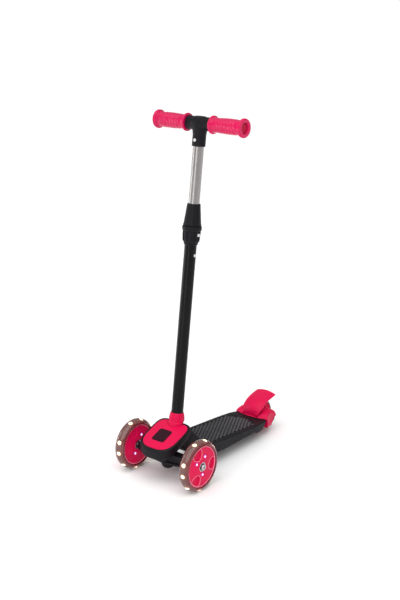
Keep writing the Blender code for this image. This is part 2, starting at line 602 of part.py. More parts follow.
def make_front_wheel(side, name):
    """Clear tyre, lit core ring, pink hub, bearings, magnet sleeve, and the axle bolt through them."""
    axis = add_empty(f"wheel_{name}_axis", along_x(side * HALF_TRACK, FRONT_AXLE_Y, FRONT_RADIUS))
    half = FRONT_WIDTH / 2
    crown = arc((FRONT_RADIUS - 12 * MM, 0), 1, 0, 0, 1)[0][0]
    tyre = [(48.3 * MM, -half + 1 * MM), (50 * MM, -half)]
    for t in (-75, -50, -25, 0, 25, 50, 75):
        turn = math.radians(t)
        tyre.append((crown - 1 + 12 * MM * math.cos(turn), half * math.sin(turn)))
    tyre += [
        (50 * MM, half), (48.3 * MM, half - 1 * MM), (48.3 * MM, 9 * MM),
        (52.6 * MM, 9 * MM), (52.6 * MM, -9 * MM), (48.3 * MM, -9 * MM),
    ]
    add_object(f"tyre_{name}", spun(tyre, 36), "clear", axis)
    add_object(f"light_ring_{name}", spun(sleeve(48.6 * MM, 52.2 * MM, -8.6 * MM, 8.6 * MM, 0.8 * MM), 36), "core", axis)

    inner, outer = BEARING_RADIUS + GAP / 3, 48 * MM
    hub = [
        (inner, -12 * MM), (15 * MM, -12 * MM), (17 * MM, -8 * MM), (43 * MM, -9 * MM), (44.5 * MM, -12 * MM),
        (outer, -12 * MM), (outer, 12 * MM), (44.5 * MM, 12 * MM), (43 * MM, 9 * MM), (17 * MM, 8 * MM),
        (15 * MM, 12 * MM), (inner, 12 * MM),
        (inner, 4.7 * MM), (9.5 * MM, 4.7 * MM), (9.5 * MM, -4.7 * MM), (inner, -4.7 * MM),
    ]
    hub = add_object(f"hub_{name}", spun(hub, 36), "pink", axis)
    for i in range(3):
        turn = Matrix.Rotation(math.tau * i / 3 + math.radians(20), 4, "Z")
        outline = arc((0, 0), 1, 0, 337.5, 15)
        rings = []
        for depth in (1.5 * MM, 20 * MM):
            ring = [(31 * MM + 10 * MM * c, 15.5 * MM * s, side * depth) for c, s in outline]
            rings.append([turn @ Vector(point) for point in ring])
        boolean(hub, add_object(f"hub_{name}_pocket_{i}", lofted(rings), parent=axis))

    for end, place in ((-1, "inner"), (1, "outer")):
        low, high = sorted((side * end * 5 * MM, side * end * (5 * MM + BEARING_WIDTH)))
        ring = sleeve(AXLE_RADIUS + 0.1 * MM, BEARING_RADIUS, low, high, 0.4 * MM)
        add_object(f"bearing_{name}_{place}", spun(ring, 20), "steel", axis)
    magnet = sleeve(AXLE_RADIUS + 0.1 * MM, 8 * MM, -4.6 * MM, 4.6 * MM, 0.4 * MM)
    add_object(f"magnet_sleeve_{name}", spun(magnet, 16), "steel", axis)
    bolt = [(0, -42 * MM), (3.5 * MM, -42 * MM), (AXLE_RADIUS, -41.5 * MM), (AXLE_RADIUS, 12.4 * MM)]
    bolt += [(7 * MM, 12.4 * MM), (7 * MM, 15.6 * MM), (5.6 * MM, 17 * MM), (3 * MM, 17 * MM), (3 * MM, 14.5 * MM), (0, 14.5 * MM)]
    add_object(f"axle_bolt_{name}", spun([(r, side * h) for r, h in bolt], 20), "steel", axis)


def make_rear_wheel():
    half = REAR_WIDTH / 2
    tyre = [(27.3 * MM, -half + 1 * MM), (29 * MM, -half)]
    for t in (-65, -33, 0, 33, 65):
        turn = math.radians(t)
        tyre.append((REAR_RADIUS - 9 * MM + 9 * MM * math.cos(turn), half * math.sin(turn)))
    tyre += [(29 * MM, half), (27.3 * MM, half - 1 * MM)]
    add_object("rear_tyre", spun(tyre, 32), "black", REAR_AXLE)
    inner, outer = BEARING_RADIUS + GAP / 3, 27 * MM
    hub = [
        (inner, -11 * MM), (14 * MM, -11 * MM), (15.5 * MM, -6 * MM), (23 * MM, -6 * MM), (24.5 * MM, -9.6 * MM),
        (outer, -9.6 * MM), (outer, 9.6 * MM), (24.5 * MM, 9.6 * MM), (23 * MM, 6 * MM), (15.5 * MM, 6 * MM),
        (14 * MM, 11 * MM), (inner, 11 * MM), (inner, 3.7 * MM), (9.5 * MM, 3.7 * MM), (9.5 * MM, -3.7 * MM), (inner, -3.7 * MM),
    ]
    add_object("rear_hub", spun(hub, 32), "pink", REAR_AXLE)
    for end, place in ((-1, "left"), (1, "right")):
        low, high = sorted((end * 4 * MM, end * (4 * MM + BEARING_WIDTH)))
        ring = sleeve(AXLE_RADIUS + 0.1 * MM, BEARING_RADIUS, low, high, 0.4 * MM)
        add_object(f"rear_bearing_{place}", spun(ring, 20), "steel", REAR_AXLE)
    spacer = sleeve(AXLE_RADIUS + 0.1 * MM, 6 * MM, -3.6 * MM, 3.6 * MM)
    add_object("rear_spacer", spun(spacer, 20), "steel", REAR_AXLE)
    axle = spun(rod(AXLE_RADIUS, -35.5 * MM, 35.5 * MM, 0.5 * MM), 20)
    add_object("rear_axle", axle, "steel", REAR_AXLE)


def make_rear_cover():
    """The pink shell over the fork arms, open below and where the wheel and the brake come through."""
    cover = add_object("rear_cover", cover_envelope(0), "pink")
    half = FORK_HALF_WIDTH + GAP
    grown = [(y + (GAP if y > FRONT_AXLE_Y + 360 * MM else 0), z + GAP) for y, z in fork_outline() if z > 30 * MM]
    grown = [(grown[0][0], 0)] + grown + [(FRONT_AXLE_Y + 318 * MM, 0)]
    boolean(cover, add_object("fork_room", extruded(grown, -half, half)))
    trim = [(361, -5), (367, 27), (374, 33), (382, 34), (420, 34), (420, -5)]
    trim = [(FRONT_AXLE_Y + y * MM, z * MM) for y, z in trim]
    boolean(cover, add_object("cover_trim", extruded(trim, -60 * MM, 60 * MM)))
    cut_wheel_slot(cover)
    return cover


def fender_top(share):
    """The brake fender's centre line, from its foot to its tip, as (y, z)."""
    points = [(326.4, 51.5), (327.2, 60.5), (331, 68), (338, 74.8), (348, 81.5), (361, 86.8), (377, 90.6), (395, 93.8)]
    place = share * (len(points) - 1)
    i = min(int(place), len(points) - 2)
    t = place - i
    before, first = points[max(i - 1, 0)], points[i]
    second, after = points[i + 1], points[min(i + 2, len(points) - 1)]
    curve = []
    for a, b, c, d in zip(before, first, second, after):
        curve.append(0.5 * (2 * b + (c - a) * t + (2 * a - 5 * b + 4 * c - d) * t**2 + (3 * b - a - 3 * c + d) * t**3))
    return FRONT_AXLE_Y + curve[0] * MM, curve[1] * MM


def fender_ring(share):
    """A cross-section of the fender: a crowned plate with a skirt down each side."""
    y, z = fender_top(share)
    y1, z1 = fender_top(min(share + 0.01, 1.0))
    y0, z0 = fender_top(max(share - 0.01, 0.0))
    along = Vector((0, y1 - y0, z1 - z0)).normalized()
    down = Vector((0, along.z, -along.y))
    skirt = FENDER_WALL + 5 * MM * max(0.0, 1 - (share / 0.62) ** 2)
    half, crown = FENDER_HALF_WIDTH - 6 * MM * max(0.0, 1 - share * 3), 5.6 * MM * min(1.0, 0.25 + share * 3)
    outer, inner = [], []
    for i in range(9):
        x = -half + 2 * half * i / 8
        outer.append((x, crown * (x / half) ** 2 + (0.8 * MM if i in (0, 8) else 0)))
    for i in range(7):
        x = half - FENDER_WALL - 2 * (half - FENDER_WALL) * i / 6
        inner.append((x, crown * (x / half) ** 2 + FENDER_WALL))
    depth = crown + skirt
    loop = outer + [(half, depth), (half - FENDER_WALL, depth + 0.01 * MM)] + inner
    loop += [(FENDER_WALL - half, depth + 0.01 * MM), (-half, depth)]
    return [Vector((x, y, z)) + down * d for x, d in loop]


def make_fender():
    fender = add_object("brake_fender", lofted([fender_ring(i / 15) for i in range(16)]), "pink")
    y, z = FENDER_PIVOT
    for side in (-1, 1):
        ear = [(y - 5.5 * MM, 66 * MM)] + arc((y, z), 5 * MM, 180, 360, 8) + [(y + 8 * MM, 74 * MM)]
        ear = [(FRONT_AXLE_Y + py, pz) for py, pz in ear]
        low, high = sorted((side * 16.6 * MM, side * 21.4 * MM))
        boolean(fender, add_object(f"ear_{side}", extruded(ear, low, high)), "UNION")
    boolean(fender, add_object("ear_bore", bore(2.8 * MM, -30 * MM, 30 * MM, 16), parent=FENDER_HINGE))
    for side, name in ((-1, "left"), (1, "right")):
        pin = [(0, 16 * MM), (4.2 * MM, 16 * MM), (4.2 * MM, 16.3 * MM), (2.5 * MM, 16.3 * MM), (2.5 * MM, 34 * MM), (0, 34 * MM)]
        add_object(f"fender_pin_{name}", spun([(r, side * h) for r, h in pin], 16), "steel", FENDER_HINGE)


clear_scene()
MATERIALS = {name: make_material(name) for name in COLOURS}
STEM = add_empty("stem_axis", Matrix.Translation(STEM_FOOT) @ Matrix.Rotation(-STEM_LEAN, 4, "X"))
KINGPIN = add_empty(
    "kingpin_axis",
    Matrix.Translation((0, FRONT_AXLE_Y, FRONT_RADIUS)) @ Matrix.Rotation(PLATE_SLOPE, 4, "X"),
)
FRONT_AXLE = add_empty("front_axle_axis", along_x(0, FRONT_AXLE_Y, FRONT_RADIUS))
REAR_AXLE = add_empty("rear_axle_axis", along_x(0, FRONT_AXLE_Y + WHEELBASE, REAR_RADIUS))
FENDER_HINGE = add_empty("fender_axis", along_x(0, FRONT_AXLE_Y + FENDER_PIVOT[0], FENDER_PIVOT[1]))

make_deck_body()
make_front_cover()
add_object("cover_badge", badge_block(0, -1.1 * MM, 0.2 * MM), "badge")
make_stem()
make_clamp()
make_upper_stem()
make_truck()
make_front_wheel(-1, "left")
make_front_wheel(1, "right")
make_rear_wheel()
make_rear_cover()
make_fender()
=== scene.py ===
"""Looks of the child's kick scooter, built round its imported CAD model.

Lengths in millimetres carry a MM factor. Distances along Y are given from the front axle, as in the CAD
source, and STEM, KINGPIN, BAR and the two axles are frames with Z along the stem or the pivot.
"""

import json
import math

import bmesh
import bpy
from mathutils import Matrix, Vector


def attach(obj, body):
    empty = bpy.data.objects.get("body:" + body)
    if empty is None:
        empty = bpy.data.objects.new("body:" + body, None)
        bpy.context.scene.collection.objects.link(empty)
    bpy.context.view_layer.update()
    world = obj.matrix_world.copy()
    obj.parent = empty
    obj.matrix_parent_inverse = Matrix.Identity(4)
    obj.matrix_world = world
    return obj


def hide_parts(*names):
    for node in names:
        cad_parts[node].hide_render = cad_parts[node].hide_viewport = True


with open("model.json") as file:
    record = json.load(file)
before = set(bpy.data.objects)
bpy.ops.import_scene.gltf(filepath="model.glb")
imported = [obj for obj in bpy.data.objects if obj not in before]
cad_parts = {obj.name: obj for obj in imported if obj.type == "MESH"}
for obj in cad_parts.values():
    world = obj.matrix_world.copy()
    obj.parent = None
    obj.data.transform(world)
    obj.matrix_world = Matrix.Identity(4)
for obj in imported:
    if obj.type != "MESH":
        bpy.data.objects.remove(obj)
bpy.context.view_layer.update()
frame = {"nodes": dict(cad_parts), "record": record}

MM = 0.001
FRONT_RADIUS = 60 * MM
REAR_RADIUS = 38 * MM
WHEELBASE = 367 * MM
HALF_TRACK = 95.6 * MM
FRONT_Y = -172.5 * MM
REAR_Y = FRONT_Y + WHEELBASE

# The stem's own frame starts in its socket. Places along it:
STEM_LEAN = math.radians(7.44)
BUTTON_AT = 436.4 * MM
SECOND_HOLE_AT = 496.4 * MM
TEE_BUTTON_AT = 643.7 * MM
BAR_AT = 679.8 * MM
STEM = Matrix.Translation((0, FRONT_Y + 38.6 * MM, 126.2 * MM)) @ Matrix.Rotation(-STEM_LEAN, 4, "X")
PLATE_SLOPE = math.radians(20.67)
KINGPIN = Matrix.Translation((0, FRONT_Y, FRONT_RADIUS)) @ Matrix.Rotation(PLATE_SLOPE, 4, "X")
ACROSS = Matrix.Rotation(math.pi / 2, 4, "Y")
BAR = STEM @ Matrix.Translation((0, 0, BAR_AT)) @ ACROSS
FRONT_AXLE = Matrix.Translation((0, FRONT_Y, FRONT_RADIUS))
REAR_AXLE = Matrix.Translation((0, REAR_Y, REAR_RADIUS))

PLATE_HEIGHT = 112.2 * MM
PLATE_CENTRE = -5 * MM
PLATE_CROWN = 4.5 * MM
DECK_HEIGHT = 59.1 * MM
DECK_HEIGHT_AT = 150 * MM
DECK_SLOPE = math.tan(math.radians(4.71))
FORK_HALF = 37.1 * MM
SLOT_HALF = 14.2 * MM
GLOW = "glow"


# ---- materials


def show(obj):
    bpy.context.scene.collection.objects.link(obj)
    return obj


def set_inputs(node, values):
    for key, value in values.items():
        node.inputs[key].default_value = value


def new_material(name, colour, roughness, metallic=0.0):
    plastic_specular = 0.15
    material = bpy.data.materials.new(name)
    material.use_nodes = True
    tree = material.node_tree
    shader = tree.nodes["Principled BSDF"]
    set_inputs(shader, {"Base Color": (*colour, 1), "Roughness": roughness, "Metallic": metallic})
    if not metallic:
        shader.inputs["Specular IOR Level"].default_value = plastic_specular
    return material, tree, shader


def add_node(tree, kind, **settings):
    node = tree.nodes.new(kind)
    for key, value in settings.items():
        if key in node.inputs:
            node.inputs[key].default_value = value
        else:
            setattr(node, key, value)
    return node


def noise(tree, scale, detail=3.0, stretch=(1, 1, 1)):
    """A noise field in the piece's own coordinates, its scale in features per metre."""
    coords = add_node(tree, "ShaderNodeTexCoord")
    mapping = add_node(tree, "ShaderNodeMapping", Scale=stretch)
    field = add_node(tree, "ShaderNodeTexNoise", Scale=scale, Detail=detail)
    tree.links.new(coords.outputs["Object"], mapping.inputs["Vector"])
    tree.links.new(mapping.outputs["Vector"], field.inputs["Vector"])
    return field.outputs["Fac"]


def remap(tree, value, low, high, start=0.3, end=0.7):
    node = add_node(tree, "ShaderNodeMapRange")
    set_inputs(node, {"From Min": start, "From Max": end, "To Min": low, "To Max": high})
    tree.links.new(value, node.inputs["Value"])
    return node.outputs["Result"]


def tint(tree, value, dark, light, start=0.3, end=0.7):
    ramp = add_node(tree, "ShaderNodeValToRGB")
    ramp.color_ramp.elements[0].position = start
    ramp.color_ramp.elements[0].color = (*dark, 1)
    ramp.color_ramp.elements[1].position = end
    ramp.color_ramp.elements[1].color = (*light, 1)
    tree.links.new(value, ramp.inputs["Fac"])
    return ramp.outputs["Color"]


def bump(tree, shader, value, depth):
    node = add_node(tree, "ShaderNodeBump", Strength=1.0, Distance=depth)
    tree.links.new(value, node.inputs["Height"])
    tree.links.new(node.outputs["Normal"], shader.inputs["Normal"])


def varied(name, colour, roughness, metallic=0.0, grain=1800, depth=0.02 * MM, mottle=0.06, spread=0.05,
           stretch=(1, 1, 1)):
    """A surface with fine grain, a slow drift in its colour and uneven gloss."""
    material, tree, shader = new_material(name, colour, roughness, metallic)
    slow = noise(tree, 14, 2.0)
    dark = [c * (1 - mottle) for c in colour]
    light = [min(1.0, c * (1 + mottle)) for c in colour]
    tree.links.new(tint(tree, slow, dark, light), shader.inputs["Base Color"])
    patches = noise(tree, 60, 4.0)
    gloss = remap(tree, patches, roughness - spread, roughness + spread)
    tree.links.new(gloss, shader.inputs["Roughness"])
    bump(tree, shader, noise(tree, grain, 2.0, stretch), depth)
    return material


def glowing(name, colour, edge, strength):
    """A small lit lens, tinted and dimmer towards its edge. Its mesh's glow attribute says where that is."""
    material, tree, shader = new_material(name, edge, 0.3)
    glow = add_node(tree, "ShaderNodeAttribute", attribute_name=GLOW)
    speckle = noise(tree, 900, 2.0)
    soft = remap(tree, speckle, 0.85, 1.0)
    power = add_node(tree, "ShaderNodeMath", operation="MULTIPLY")
    tree.links.new(glow.outputs["Fac"], power.inputs[0])
    tree.links.new(soft, power.inputs[1])
    emission = remap(tree, power.outputs["Value"], 0.0, strength, 0.0, 1.0)
    tree.links.new(emission, shader.inputs["Emission Strength"])
    tree.links.new(tint(tree, glow.outputs["Fac"], edge, colour, 0.1, 0.8), shader.inputs["Emission Color"])
    return material


def multiplied(tree, first, second):
    """The product of two colours."""
    colour_a, colour_b, colour_out = 6, 7, 2
    mix = add_node(tree, "ShaderNodeMix", data_type="RGBA", blend_type="MULTIPLY")
    mix.inputs["Factor"].default_value = 1.0
    tree.links.new(first, mix.inputs[colour_a])
    tree.links.new(second, mix.inputs[colour_b])
    return mix.outputs[colour_out]


def distance_from_axle(tree):
    """How far a point of a wheel's piece is from its axle, which lies along X."""
    coords = add_node(tree, "ShaderNodeTexCoord")
    parts = add_node(tree, "ShaderNodeSeparateXYZ")
    tree.links.new(coords.outputs["Object"], parts.inputs["Vector"])
    flat = add_node(tree, "ShaderNodeCombineXYZ")
    tree.links.new(parts.outputs["Y"], flat.inputs["Y"])
    tree.links.new(parts.outputs["Z"], flat.inputs["Z"])
    reach = add_node(tree, "ShaderNodeVectorMath", operation="LENGTH")
    tree.links.new(flat.outputs["Vector"], reach.inputs[0])
    return reach.outputs["Value"]


def clear_urethane():
    """The smoky clear tyre: cloudy, tinted, glossy, and redder towards the hub."""
    material, tree, shader = new_material("tyre_urethane", (0.60, 0.50, 0.49), 0.09)
    set_inputs(shader, {"Transmission Weight": 0.50, "IOR": 1.38})
    set_inputs(shader, {"Coat Weight": 0.6, "Coat Roughness": 0.06})
    outwards = remap(tree, distance_from_axle(tree), 0, 1, 51 * MM, 59.5 * MM)
    smoke = tint(tree, outwards, (0.30, 0.030, 0.045), (0.27, 0.135, 0.12), 0.0, 0.9)
    haze = tint(tree, noise(tree, 55, 4.0), (0.82, 0.80, 0.80), (1.0, 1.0, 1.0))
    tree.links.new(multiplied(tree, smoke, haze), shader.inputs["Base Color"])
    tree.links.new(remap(tree, noise(tree, 90, 2.0), 0.05, 0.12), shader.inputs["Roughness"])
    return material


def coated(material, weight):
    """Adds a clear glossy coat."""
    material.node_tree.nodes["Principled BSDF"].inputs["Coat Weight"].default_value = weight
    return material


def lit(material, colour, strength):
    """Adds a faint even glow, painted light on a surface that is no lamp: on the hub it brightens the faces
    that lie in shade, on the core it is a painted red glow.
    """
    shader = material.node_tree.nodes["Principled BSDF"]
    set_inputs(shader, {"Emission Color": (*colour, 1), "Emission Strength": strength})
    return material


def pink_materials():
    hub = varied("pink_hub_plastic", (0.66, 0.0025, 0.066), 0.40, depth=0.010 * MM, mottle=0.08)
    rubber = varied("pink_grip_rubber", (0.62, 0.004, 0.085), 0.30, grain=1400, depth=0.004 * MM, spread=0.02)
    return {
        "pink": varied("pink_plastic", (0.64, 0.0022, 0.062), 0.42, depth=0.010 * MM, mottle=0.04),
        # painted light: a faint pink glow that brightens the hub's faces where they lie in shade
        "pink_hub": lit(hub, (0.66, 0.002, 0.066), 0.10),
        # lighter pink for the hub's raised beads: a painted highlight along their edges
        "pink_painted_highlight": varied("pink_bead_painted_highlight", (0.90, 0.26, 0.38), 0.35, depth=0.010 * MM, mottle=0.05),
        "pink_rubber": coated(rubber, 0.3),
        "pink_end": varied("pink_grip_end", (0.46, 0.002, 0.036), 0.50, grain=1400, depth=0.05 * MM),
    }


def black_materials():
    rough = {"grain": 2600, "depth": 0.05 * MM, "mottle": 0.15}
    return {
        "black": varied("black_moulding", (0.0075, 0.0068, 0.0092), 0.50, spread=0.08, **rough),
        # the deck field's darker black is painted shade between the grip cells
        "black_painted_shade": varied("deck_top_painted_shade", (0.0045, 0.004, 0.005), 0.70, **rough),
        # the grip cells' grey, far lighter than the deck's black, is a painted sheen on their raised tops
        "black_painted_sheen": varied(
            "grip_cells_painted_sheen", (0.060, 0.058, 0.064), 0.42, grain=1600, depth=0.05 * MM, mottle=0.25
        ),
        "black_paint": varied(
            "black_tube_paint", (0.0045, 0.0042, 0.0052), 0.30, grain=500, depth=0.02 * MM
        ),
        "black_tyre": varied(
            "black_tyre_rubber", (0.016, 0.012, 0.014), 0.62, grain=900, depth=0.06 * MM, mottle=0.15
        ),
        "badge": varied("badge_inlay", (0.022, 0.0015, 0.007), 0.25, depth=0.008 * MM),
    }


def other_materials():
    core = varied("core_painted_glow", (0.42, 0.020, 0.045), 0.35, grain=200, depth=0.005 * MM, mottle=0.30)
    return {
        "aluminium": varied(
            "anodised_tube", (0.37, 0.355, 0.35), 0.36, 1.0, 700, 0.015 * MM, 0.03, 0.05, (1, 1, 12)
        ),
        "steel": varied("zinc_steel", (0.56, 0.56, 0.58), 0.28, 1.0, 900, 0.03 * MM, 0.10, 0.10),
        # painted light: a red glow on the core, which is no lamp
        "core": lit(coated(core, 0.5), (0.80, 0.06, 0.08), 0.35),
        "white": varied("white_button", (0.62, 0.62, 0.62), 0.35, depth=0.01 * MM),
        "urethane": varied("bushing_urethane", (0.75, 0.70, 0.45), 0.50),
        "clear": clear_urethane(),
        "tyre_light": glowing("tyre_light", (1.0, 0.98, 0.86), (0.55, 0.70, 0.42), 44.0),
        "hub_light": glowing("hub_light", (0.97, 0.92, 1.0), (0.50, 0.22, 0.78), 5.0),
        # violet rings round the hub lights: their colour is a painted halo of the lamps' light
        "hub_painted_halo": varied("hub_light_painted_halo", (0.46, 0.10, 0.52), 0.30, depth=0.008 * MM),
    }


# The CAD record's material slots are names in this table too.
LOOKS = {**pink_materials(), **black_materials(), **other_materials()}


# ---- geometry


def add_piece(name, bm, look, body, replaces=(), matrix=None, sharp=32):
    """Turns a bmesh into a shown piece that rides on a CAD body."""
    if matrix:
        placed(bm, matrix.to_3x3().to_4x4())
    bmesh.ops.remove_doubles(bm, verts=bm.verts, dist=1e-7)
    bmesh.ops.recalc_face_normals(bm, faces=bm.faces)
    mesh = bpy.data.meshes.new(name)
    bm.to_mesh(mesh)
    bm.free()
    mesh.shade_smooth()
    mesh.set_sharp_from_angle(angle=math.radians(sharp))
    piece = show(bpy.data.objects.new(name, mesh))
    if matrix:
        piece.location = matrix.translation
    mesh.materials.append(LOOKS[look])
    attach(piece, body)
    if replaces:
        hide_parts(*replaces)
    return piece


def bridge(bm, first, second, closed=True):
    """Joins two rows of vertices with a band of quads."""
    for j in range(len(first) if closed else len(first) - 1):
        k = (j + 1) % len(first)
        bm.faces.new((first[j], first[k], second[k], second[j]))


def lathe(profile, segments=96, height=None):
    """Turns a closed (radius, height) outline about Z. height(angle, radius, z) may push a point outwards."""
    bm = bmesh.new()
    rows = []
    for i in range(segments):
        turn = math.tau * i / segments
        c, s = math.cos(turn), math.sin(turn)
        row = []
        for radius, z in profile:
            r = radius + (height(turn, radius, z) if height else 0)
            row.append(bm.verts.new((r * c, r * s, z)))
        rows.append(row)
    closed = profile[0][0] > 0 or profile[-1][0] > 0
    for first, second in zip(rows, rows[1:] + rows[:1]):
        bridge(bm, first, second, closed)
    bmesh.ops.remove_doubles(bm, verts=bm.verts, dist=1e-7)
    bmesh.ops.dissolve_degenerate(bm, edges=bm.edges, dist=1e-7)
    return bm


def soften(points, radius, steps=4, closed=True):
    """Rounds the corners of an outline."""
    nearly_straight = 0.12
    result = []
    count = len(points)
    for i, point in enumerate(points):
        if not closed and i in (0, count - 1):
            result.append(point)
            continue
        here = Vector(point)
        before = Vector(points[i - 1]) - here
        after = Vector(points[(i + 1) % count]) - here
        doubled = before.length < 1e-9 or after.length < 1e-9
        if doubled or abs(before.angle(after) - math.pi) < nearly_straight:
            result.append(point)
            continue
        cut = min(radius, before.length * 0.48, after.length * 0.48)
        a, b = here + before.normalized() * cut, here + after.normalized() * cut
        for k in range(steps + 1):
            t = k / steps
            result.append(tuple(a * (1 - t) ** 2 + here * 2 * t * (1 - t) + b * t**2))
    return result


def mm(points):
    return [tuple(value * MM for value in point) for point in points]


def dense(points, step):
    """Adds points along the outline so that no run is longer than a step."""
    result = []
    for i, point in enumerate(points):
        a, b = Vector(point), Vector(points[(i + 1) % len(points)])
        parts = max(1, round((b - a).length / step))
        result += [tuple(a.lerp(b, k / parts)) for k in range(parts)]
    return result


def extruded(outline, low, high):
    """A solid along X with an outline of (y, z) points, y from the front axle."""
    return loft([[(x, FRONT_Y + y, z) for y, z in outline] for x in (low, high)])


def loft(rings, caps=True):
    """A skin through a row of rings, with a fan of triangles over each end."""
    bm = bmesh.new()
    rows = [[bm.verts.new(point) for point in ring] for ring in rings]
    for first, second in zip(rows, rows[1:]):
        bridge(bm, first, second)
    if caps:
        for row in (rows[0], rows[-1]):
            centre = bm.verts.new(sum((v.co for v in row), Vector()) / len(row))
            for i, vert in enumerate(row):
                bm.faces.new((vert, row[(i + 1) % len(row)], centre))
    bmesh.ops.recalc_face_normals(bm, faces=bm.faces)
    return bm


def block(low, high):
    bm = bmesh.new()
    size = [b - a for a, b in zip(low, high)]
    middle = [(a + b) / 2 for a, b in zip(low, high)]
    bmesh.ops.create_cube(bm, size=1, matrix=Matrix.Translation(middle) @ Matrix.Diagonal((*size, 1)))
    return bm


def placed(bm, matrix):
    bmesh.ops.transform(bm, matrix=matrix, verts=bm.verts)
    return bm


def merged(*parts):
    """One bmesh holding several, whose solids may overlap."""
    result = bmesh.new()
    for part in parts:
        mesh = bpy.data.meshes.new("part")
        bmesh.ops.recalc_face_normals(part, faces=part.faces)
        part.to_mesh(mesh)
        part.free()
        result.from_mesh(mesh)
        bpy.data.meshes.remove(mesh)
    return result


def temporary(name, bm):
    bmesh.ops.recalc_face_normals(bm, faces=bm.faces)
    mesh = bpy.data.meshes.new(name)
    bm.to_mesh(mesh)
    bm.free()
    return show(bpy.data.objects.new(name, mesh))


def carved(bm, cutters):
    """Cuts a solid with each of the cutters in turn."""
    obj = temporary("blank", bm)
    tools = [temporary("tool", cutter) for cutter in cutters]
    for tool in tools:
        modifier = obj.modifiers.new("cut", "BOOLEAN")
        modifier.operation = "DIFFERENCE"
        modifier.solver = "EXACT"
        modifier.object = tool
    return evaluated(obj, tools)


def moulded(bm, voxel, passes=4):
    """Fuses overlapping solids into one skin and rounds every edge, as a mould does."""
    obj = temporary("blank", bm)
    remesh = obj.modifiers.new("fuse", "REMESH")
    remesh.mode = "VOXEL"
    remesh.voxel_size = voxel
    smooth = obj.modifiers.new("round", "SMOOTH")
    smooth.factor = 0.5
    smooth.iterations = passes
    return evaluated(obj, [])


def evaluated(obj, tools):
    """The object's mesh after its modifiers. The object and its tools are removed."""
    graph = bpy.context.evaluated_depsgraph_get()
    graph.update()
    mesh = bpy.data.meshes.new_from_object(obj.evaluated_get(graph))
    bm = bmesh.new()
    bm.from_mesh(mesh)
    bpy.data.meshes.remove(mesh)
    for old in [obj, *tools]:
        bpy.data.objects.remove(old, do_unlink=True)
    return bm


def arc(centre, radius, start, end, steps):
    turns = [math.radians(start + (end - start) * i / steps) for i in range(steps + 1)]
    return [(centre[0] + radius * math.cos(t), centre[1] + radius * math.sin(t)) for t in turns]


def smoothstep(low, high, value):
    t = max(0.0, min(1.0, (value - low) / (high - low)))
    return t * t * (3 - 2 * t)


def interpolate(stops, y):
    """Reads a value from (place, value) stops along a curve that doesn't overshoot."""
    if y <= stops[0][0]:
        return stops[0][1]
    for i in range(len(stops) - 1):
        (y0, v0), (y1, v1) = stops[i], stops[i + 1]
        if y <= y1:
            slopes = []
            for j in (i, i + 1):
                left = stops[max(j - 1, 0)]
                right = stops[min(j + 1, len(stops) - 1)]
                before = (stops[j][1] - left[1]) / max(stops[j][0] - left[0], 1e-9)
                after = (right[1] - stops[j][1]) / max(right[0] - stops[j][0], 1e-9)
                slopes.append(0 if before * after <= 0 else 2 * before * after / (before + after))
            h = y1 - y0
            t = (y - y0) / h
            a = (1 + 2 * t) * (1 - t) ** 2 * v0 + t * (1 - t) ** 2 * h * slopes[0]
            return a + t * t * (3 - 2 * t) * v1 + t * t * (t - 1) * h * slopes[1]
    return stops[-1][1]


# ---- nose and deck


def plate_level(y):
    """The height of the front cover's rim, y from the front axle."""
    return PLATE_HEIGHT + math.tan(PLATE_SLOPE) * y


def deck_level(y):
    """The height of the deck's top, y from the front axle."""
    return DECK_HEIGHT - DECK_SLOPE * (y - DECK_HEIGHT_AT)


def plate_outline(grow):
    """A squarish oval round the front cover, squarer behind than in front."""
    points, half_width, half_length = 96, 43.5 * MM, 43 * MM
    outline = []
    for i in range(points):
        turn = math.tau * i / points
        c, s = math.cos(turn), math.sin(turn)
        power = 2 / (5.0 if s > 0 else 2.9)
        x = math.copysign(abs(c) ** power, c) * (half_width + grow)
        y = math.copysign(abs(s) ** power, s) * (half_length + grow)
        outline.append((x, PLATE_CENTRE + y))
    return outline


def nose_ring(grow, drop, share):
    """A ring round the nose: a drop below the cover's rim, or at share 1 below the nose's underside."""
    middle_depth, taper = 22.6 * MM, 0.093
    ring = []
    for x, y in plate_outline(grow):
        depth = middle_depth - taper * y
        ring.append((x, FRONT_Y + y, plate_level(y) - drop - share * depth))
    return ring


def deck_section(y, half, top, bottom):
    """A cross-section of the deck: a crisp top edge, a shallow step below it and a rounded lower edge."""
    step = smoothstep(100 * MM, 125 * MM, y) * 1.3 * MM
    right = [(half - 3 * MM, top), (half - 0.9 * MM, top - 0.5 * MM), (half, top - 1.8 * MM)]
    right += [(half, top - 3.6 * MM), (half - step, top - 4.3 * MM), (half - step, top - 7 * MM)]
    right += arc((half - 9 * MM, bottom + 7 * MM), 7 * MM, 0, -90, 5)
    left = [(-x, z) for x, z in reversed(right)]
    return [(x, FRONT_Y + y, z) for x, z in right + left]


def deck_skin():
    """The deck behind the nose, solid."""
    start, spacing, end, ramp_end = 8, 4, 333.9, 116
    tops = [
        (8, 105), (33, 120), (38, 118.5), (45, 110.5), (61, 94), (75, 83.3), (94, 72), (115, 62),
        (118, 61.74),
    ]
    bottoms = [
        (8, 84), (18, 76), (30, 66), (60, 48), (90, 36), (125, 31), (156, 28.4), (262, 28.6),
        (276, 28.0), (289, 23.6), (302, 21.8), (313, 23.2), (324, 27.5), (334, 31),
    ]
    widths = [
        (8, 43), (30, 46), (60, 50), (100, 54), (150, 55), (272, 55), (300, 53.5), (320, 50.5), (334, 46),
    ]
    rings = []
    for step in range(math.ceil((end - start) / spacing) + 1):
        y = min(start + spacing * step, end)
        top = interpolate(tops, y) * MM if y < ramp_end else deck_level(y * MM)
        rings.append(deck_section(y * MM, interpolate(widths, y) * MM, top, interpolate(bottoms, y) * MM))
    return loft(rings)


